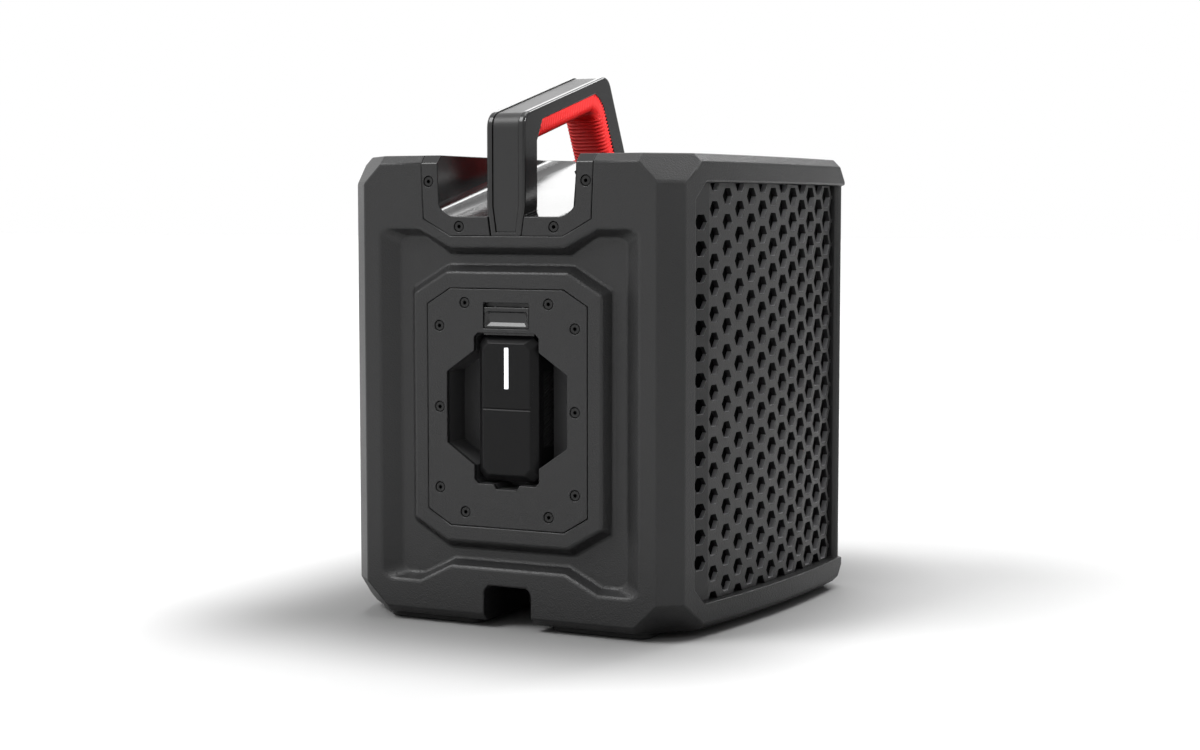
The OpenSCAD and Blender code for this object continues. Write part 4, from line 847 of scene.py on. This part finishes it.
def make_screws(node):
    """Stands for a node's plain screws."""
    every = bmesh.new()
    plain = merged_copy(node)
    for number, island in enumerate(islands(plain)):
        places = [in_mm(vert.co) for vert in island]
        low = Vector([min(place[i] for place in places) for i in range(3)])
        high = Vector([max(place[i] for place in places) for i in range(3)])
        head_r = (high.x - low.x) / 2
        screw = screw_shape(head_r, high.y - low.y)
        turn = Matrix.Rotation(number * SCREW_TURN, 4, "Y")
        place = Matrix.Translation(((low.x + high.x) / 2, low.y, (low.z + high.z) / 2))
        bmesh.ops.transform(screw, matrix=place @ turn, verts=screw.verts)
        kept = bpy.data.meshes.new("screw")
        screw.to_mesh(kept)
        screw.free()
        every.from_mesh(kept)
        bpy.data.meshes.remove(kept)
    plain.free()
    bmesh.ops.scale(every, vec=(MM, MM, MM), verts=every.verts)
    bmesh.ops.translate(every, vec=(0, REAR, 0), verts=every.verts)
    smooth(every)
    piece = new_piece(node + "_socketed", every, node)
    piece.data.set_sharp_from_angle(angle=SCREW_CREASE)
    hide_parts(node)


# Speaker cloth: thin sheets stretched behind the grilles

CLOTH_INSET = 0.6
CLOTH_SINK = 0.1
RAY_START = 500.0


def make_cloth(node, toward, across, columns, rows):
    """A sheet laid on a CAD cloth's outer face, looked at along toward and spread along across and up."""
    low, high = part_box(node)
    plain = bmesh.new()
    plain.from_mesh(NODES[node].data)
    target = BVHTree.FromBMesh(plain)
    shape = bmesh.new()
    bmesh.ops.create_grid(shape, x_segments=columns, y_segments=rows, size=0.5)
    span = high - low
    wide = abs(span.dot(across)) - 2 * CLOTH_INSET * MM
    tall = span.z - 2 * CLOTH_INSET * MM
    heart = (low + high) / 2
    for vert in list(shape.verts):
        place = heart + across * vert.co.x * wide + Vector((0, 0, vert.co.y * tall))
        hit = target.ray_cast(place - toward * RAY_START * MM, toward)[0]
        if hit:
            vert.co = hit + toward * CLOTH_SINK * MM
        else:
            shape.verts.remove(vert)
    plain.free()
    layer = shape.loops.layers.uv.new("cloth")
    smooth(shape)
    for face in shape.faces:
        for loop in face.loops:
            loop[layer].uv = (loop.vert.co.dot(across), loop.vert.co.z)
    bmesh.ops.recalc_face_normals(shape, faces=shape.faces)
    if shape.faces[:][0].normal.dot(toward) > 0:
        bmesh.ops.reverse_faces(shape, faces=shape.faces)
    area = sum(face.calc_area() for face in shape.faces)
    piece = new_piece(node + "_sheet", shape, node)
    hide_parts(node)


# Signs on the buttons: raised inside each dished top

SIGN_LINE = 0.9
SIGN_RISE = 0.5
SIGN_DROP = 0.85
SIGN_BAR = 6.4
POWER_R = 3.2
PAIR_R = 2.1
PAIR_APART = 2.15
PLAY_R = 3.6


def add_bar(sign, long, wide, x=0.0, y=0.0):
    place = Matrix.Translation((x, y, 0)) @ Matrix.Diagonal((long, wide, 1, 1))
    bmesh.ops.create_grid(sign, x_segments=1, y_segments=1, size=0.5, matrix=place)


def add_ring(sign, radius, x=0.0):
    rim = bmesh.ops.create_circle(sign, cap_ends=True, segments=32, radius=radius,
                                  matrix=Matrix.Translation((x, 0, 0)))["verts"]
    disc = rim[0].link_faces[0]
    bmesh.ops.inset_region(sign, faces=[disc], thickness=SIGN_LINE, use_boundary=True,
                           use_even_offset=True)
    bmesh.ops.delete(sign, geom=[disc], context="FACES_ONLY")


def power_sign(sign):
    add_ring(sign, POWER_R)
    add_bar(sign, SIGN_LINE, POWER_R, y=POWER_R)


def pair_sign(sign):
    add_ring(sign, PAIR_R, x=-PAIR_APART)
    add_ring(sign, PAIR_R, x=PAIR_APART)


def down_sign(sign):
    add_bar(sign, SIGN_BAR, SIGN_LINE)


def play_sign(sign):
    turn = Matrix.Rotation(-math.pi / 2, 4, "Z")
    bmesh.ops.create_circle(sign, cap_ends=True, segments=3, radius=PLAY_R, matrix=turn)


def up_sign(sign):
    add_bar(sign, SIGN_LINE, SIGN_BAR)
    for side in (-1, 1):
        add_bar(sign, (SIGN_BAR - SIGN_LINE) / 2, SIGN_LINE, x=side * (SIGN_BAR + SIGN_LINE) / 4)


def make_sign(node, draw):
    """A raised sign on a button, turned to be read from the front."""
    sign = bmesh.new()
    draw(sign)
    raised = bmesh.ops.extrude_face_region(sign, geom=sign.faces[:])["geom"]
    bmesh.ops.translate(sign, vec=(0, 0, SIGN_RISE), verts=verts_of(raised))
    bmesh.ops.recalc_face_normals(sign, faces=sign.faces)
    low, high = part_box(node)
    place = Matrix.Translation(((low.x + high.x) / 2, (low.y + high.y) / 2, high.z - SIGN_DROP * MM))
    turn = Matrix.Rotation(math.pi, 4, "Z")
    bmesh.ops.transform(sign, matrix=place @ turn @ Matrix.Scale(MM, 4), verts=sign.verts)
    new_piece(node + "_sign", sign, node, SIGN_FINISH)


# Edges of the plainer pieces

INLAY_EDGE = 0.4
BEZEL_EDGE = 0.6
CONTROL_EDGE = 0.5
FEET_EDGE = 1.0
PACK_EDGE = 0.6


# Stage: a pale floor with a painted shadow round the speaker's footprint, a white surround and soft light
# from above

FLOOR_SIZE = 20.0
# Painted shadow on the floor: besides the real shadow it receives, its colour darkens near a box round the
# speaker's footprint
PAINTED_SHADOW_SHIFT = 0.03
PAINTED_SHADOW_HALF = (0.108, 0.14)
PAINTED_SHADOW_FADE = 0.2
PAINTED_SHADOW_DARK = 0.42
FLOOR_BOUNCE = (0.25, 0.25, 0.25, 1)
RIGHT_FADE = (-0.1, 0.4)
BESIDE_FADE = (-0.12, 0.2)
FRONT_FADE = (-0.1, 0.5)
SPOT_BLEND = 0.6
SPOT_SIZE = 0.15


def soft_step(tree, value, start, end, low, high):
    """A smooth change from low to high as a value goes from start to end."""
    return add(tree, "MapRange", {0: value, 1: start, 2: end, 3: low, 4: high},
               interpolation_type="SMOOTHSTEP").outputs[0]


def seen_or_mirrored(tree):
    """1 for what the camera sees directly, in gloss or through glass."""
    rays = add(tree, "LightPath").outputs
    return math_of(tree, "MAXIMUM", rays["Is Camera Ray"],
                   math_of(tree, "MAXIMUM", rays["Is Glossy Ray"], rays["Is Transmission Ray"]))


def make_stage():
    """A white floor with a painted shadow that darkens its colour towards the speaker's footprint, and that
    throws little light back.
    """
    shape = bmesh.new()
    bmesh.ops.create_grid(shape, x_segments=1, y_segments=1, size=FLOOR_SIZE)
    mesh = bpy.data.meshes.new("floor")
    shape.to_mesh(mesh)
    shape.free()
    floor = bpy.data.objects.new("floor", mesh)
    bpy.context.scene.collection.objects.link(floor)
    pale, tree, shader = new_finish("pale_floor_painted_shadow")
    place = add(tree, "SeparateXYZ", {0: add(tree, "TexCoord").outputs["Object"]}).outputs
    axes = (math_of(tree, "ADD", place[0], PAINTED_SHADOW_SHIFT), place[1])
    out = [math_of(tree, "MAXIMUM", math_of(tree, "SUBTRACT", math_of(tree, "ABSOLUTE", axis), half), 0.0)
           for axis, half in zip(axes, PAINTED_SHADOW_HALF)]
    away = math_of(tree, "SQRT", math_of(tree, "ADD", math_of(tree, "POWER", out[0], 2.0),
                                         math_of(tree, "POWER", out[1], 2.0)))
    # Painted shadow: the floor's colour goes from dark at the footprint to white further away
    painted_shadow = soft_step(tree, away, 0.0, PAINTED_SHADOW_FADE, PAINTED_SHADOW_DARK, 1.0)
    tone = mix_of(tree, seen_or_mirrored(tree), FLOOR_BOUNCE, WHITE)
    tree.links.new(add(tree, "VectorMath", {0: tone, 3: painted_shadow}, operation="SCALE").outputs[0],
                   shader.inputs["Base Color"])
    set_shader(shader, {"Roughness": 0.9, "Specular IOR Level": 0.0})
    mesh.materials.append(pale)


def make_world(fill, right, front):
    """White to the camera and in reflections, and a softer fill for the surfaces.

    Every ray is dimmed by right on the right side, and by front as well at the front right.
    """
    world = bpy.data.worlds.new("surround")
    world.use_nodes = True
    tree = world.node_tree
    level = math_of(tree, "MULTIPLY_ADD", seen_or_mirrored(tree), 1.0 - fill, fill)
    toward = add(tree, "SeparateXYZ", {0: add(tree, "TexCoord").outputs["Generated"]}).outputs
    dim = soft_step(tree, toward[0], *RIGHT_FADE, 1.0, right)
    beside = soft_step(tree, toward[0], *BESIDE_FADE, 0.0, 1.0)
    ahead = soft_step(tree, toward[1], *FRONT_FADE, 0.0, front - 1.0)
    corner = math_of(tree, "MULTIPLY_ADD", beside, ahead, 1.0)
    strength = math_of(tree, "MULTIPLY", level, math_of(tree, "MULTIPLY", dim, corner))
    back = tree.nodes["Background"]
    back.inputs["Color"].default_value = WHITE
    tree.links.new(strength, back.inputs["Strength"])
    bpy.context.scene.world = world


def make_lamp(name, kind, energy, place, aim, size):
    """A soft lamp at a place, turned to an aim. Size is a sun's or a spot's angle in degrees."""
    data = bpy.data.lights.new(name, kind)
    data.energy = energy
    if kind == "SUN":
        data.angle = math.radians(size)
    else:
        data.spot_size = math.radians(size)
        data.spot_blend = SPOT_BLEND
        data.shadow_soft_size = SPOT_SIZE
    lamp = bpy.data.objects.new(name, data)
    lamp.location = place
    lamp.rotation_euler = (Vector(aim) - Vector(place)).to_track_quat("-Z", "Y").to_euler()
    lamp.visible_camera = False
    bpy.context.scene.collection.objects.link(lamp)


# The scene and its pieces

make_camera()
make_stage()
make_world(fill=0.35, right=0.57, front=0.6)
make_lamp("top_light", "SUN", energy=1.3, place=(0.2, 0.5, 1.92), aim=(0, 0, 0), size=44.0)
make_lamp("edge_light", "SUN", energy=1.5, place=(-0.9, -0.9, 1.54), aim=(0, 0, 0), size=28.0)
make_lamp("front_light", "SUN", energy=0.5, place=(0.3, 1.5, 1.3), aim=(0, 0, 0), size=14.0)
make_lamp("cradle_light", "SUN", energy=0.18, place=(-0.86, 1.64, 0.74), aim=(0, 0, 0), size=20.0)
make_lamp("handle_light", "SPOT", energy=210.0, place=(1.0, 0.1, 0.95), aim=(0, 0, 0.37), size=9.0)

rounded("body_shell", POST_ROUND, shell_width, weld=SHELL_WELD, prepare=shape_shell)
rounded("handle_frame", HANDLE_ROUND, handle_width, segments=4)
rounded("handle_inlay", INLAY_EDGE)
rounded("battery_bezel", BEZEL_EDGE)
rounded("control_panel", CONTROL_EDGE)
rounded("feet", FEET_EDGE)
rounded("pack_front", PACK_EDGE, prepare=split_faces)
make_cradle()
rounded("latch_slider", LATCH_EDGE, latch_width, prepare=carve_latch)
make_latch_web()
make_leaf_spring()
rounded("pack_light", LIGHT_END, light_width, segments=6)
make_grille("grille_right", Vector((1, 0, 0)))
make_grille("grille_left", Vector((1, 0, 0)))
make_grille("grille_front", Vector((0, 1, 0)))
make_grip()
make_screws("cradle_screws")
make_screws("bezel_screws")
make_cloth("cloth_right", Vector((-1, 0, 0)), Vector((0, 1, 0)), columns=40, rows=8)
make_cloth("cloth_left", Vector((1, 0, 0)), Vector((0, 1, 0)), columns=40, rows=8)
make_cloth("cloth_front", Vector((0, -1, 0)), Vector((1, 0, 0)), columns=30, rows=30)
make_sign("button_power", power_sign)
make_sign("button_pair", pair_sign)
make_sign("button_down", down_sign)
make_sign("button_play", play_sign)
make_sign("button_up", up_sign)

bpy.context.scene.view_settings.view_transform = "Standard"
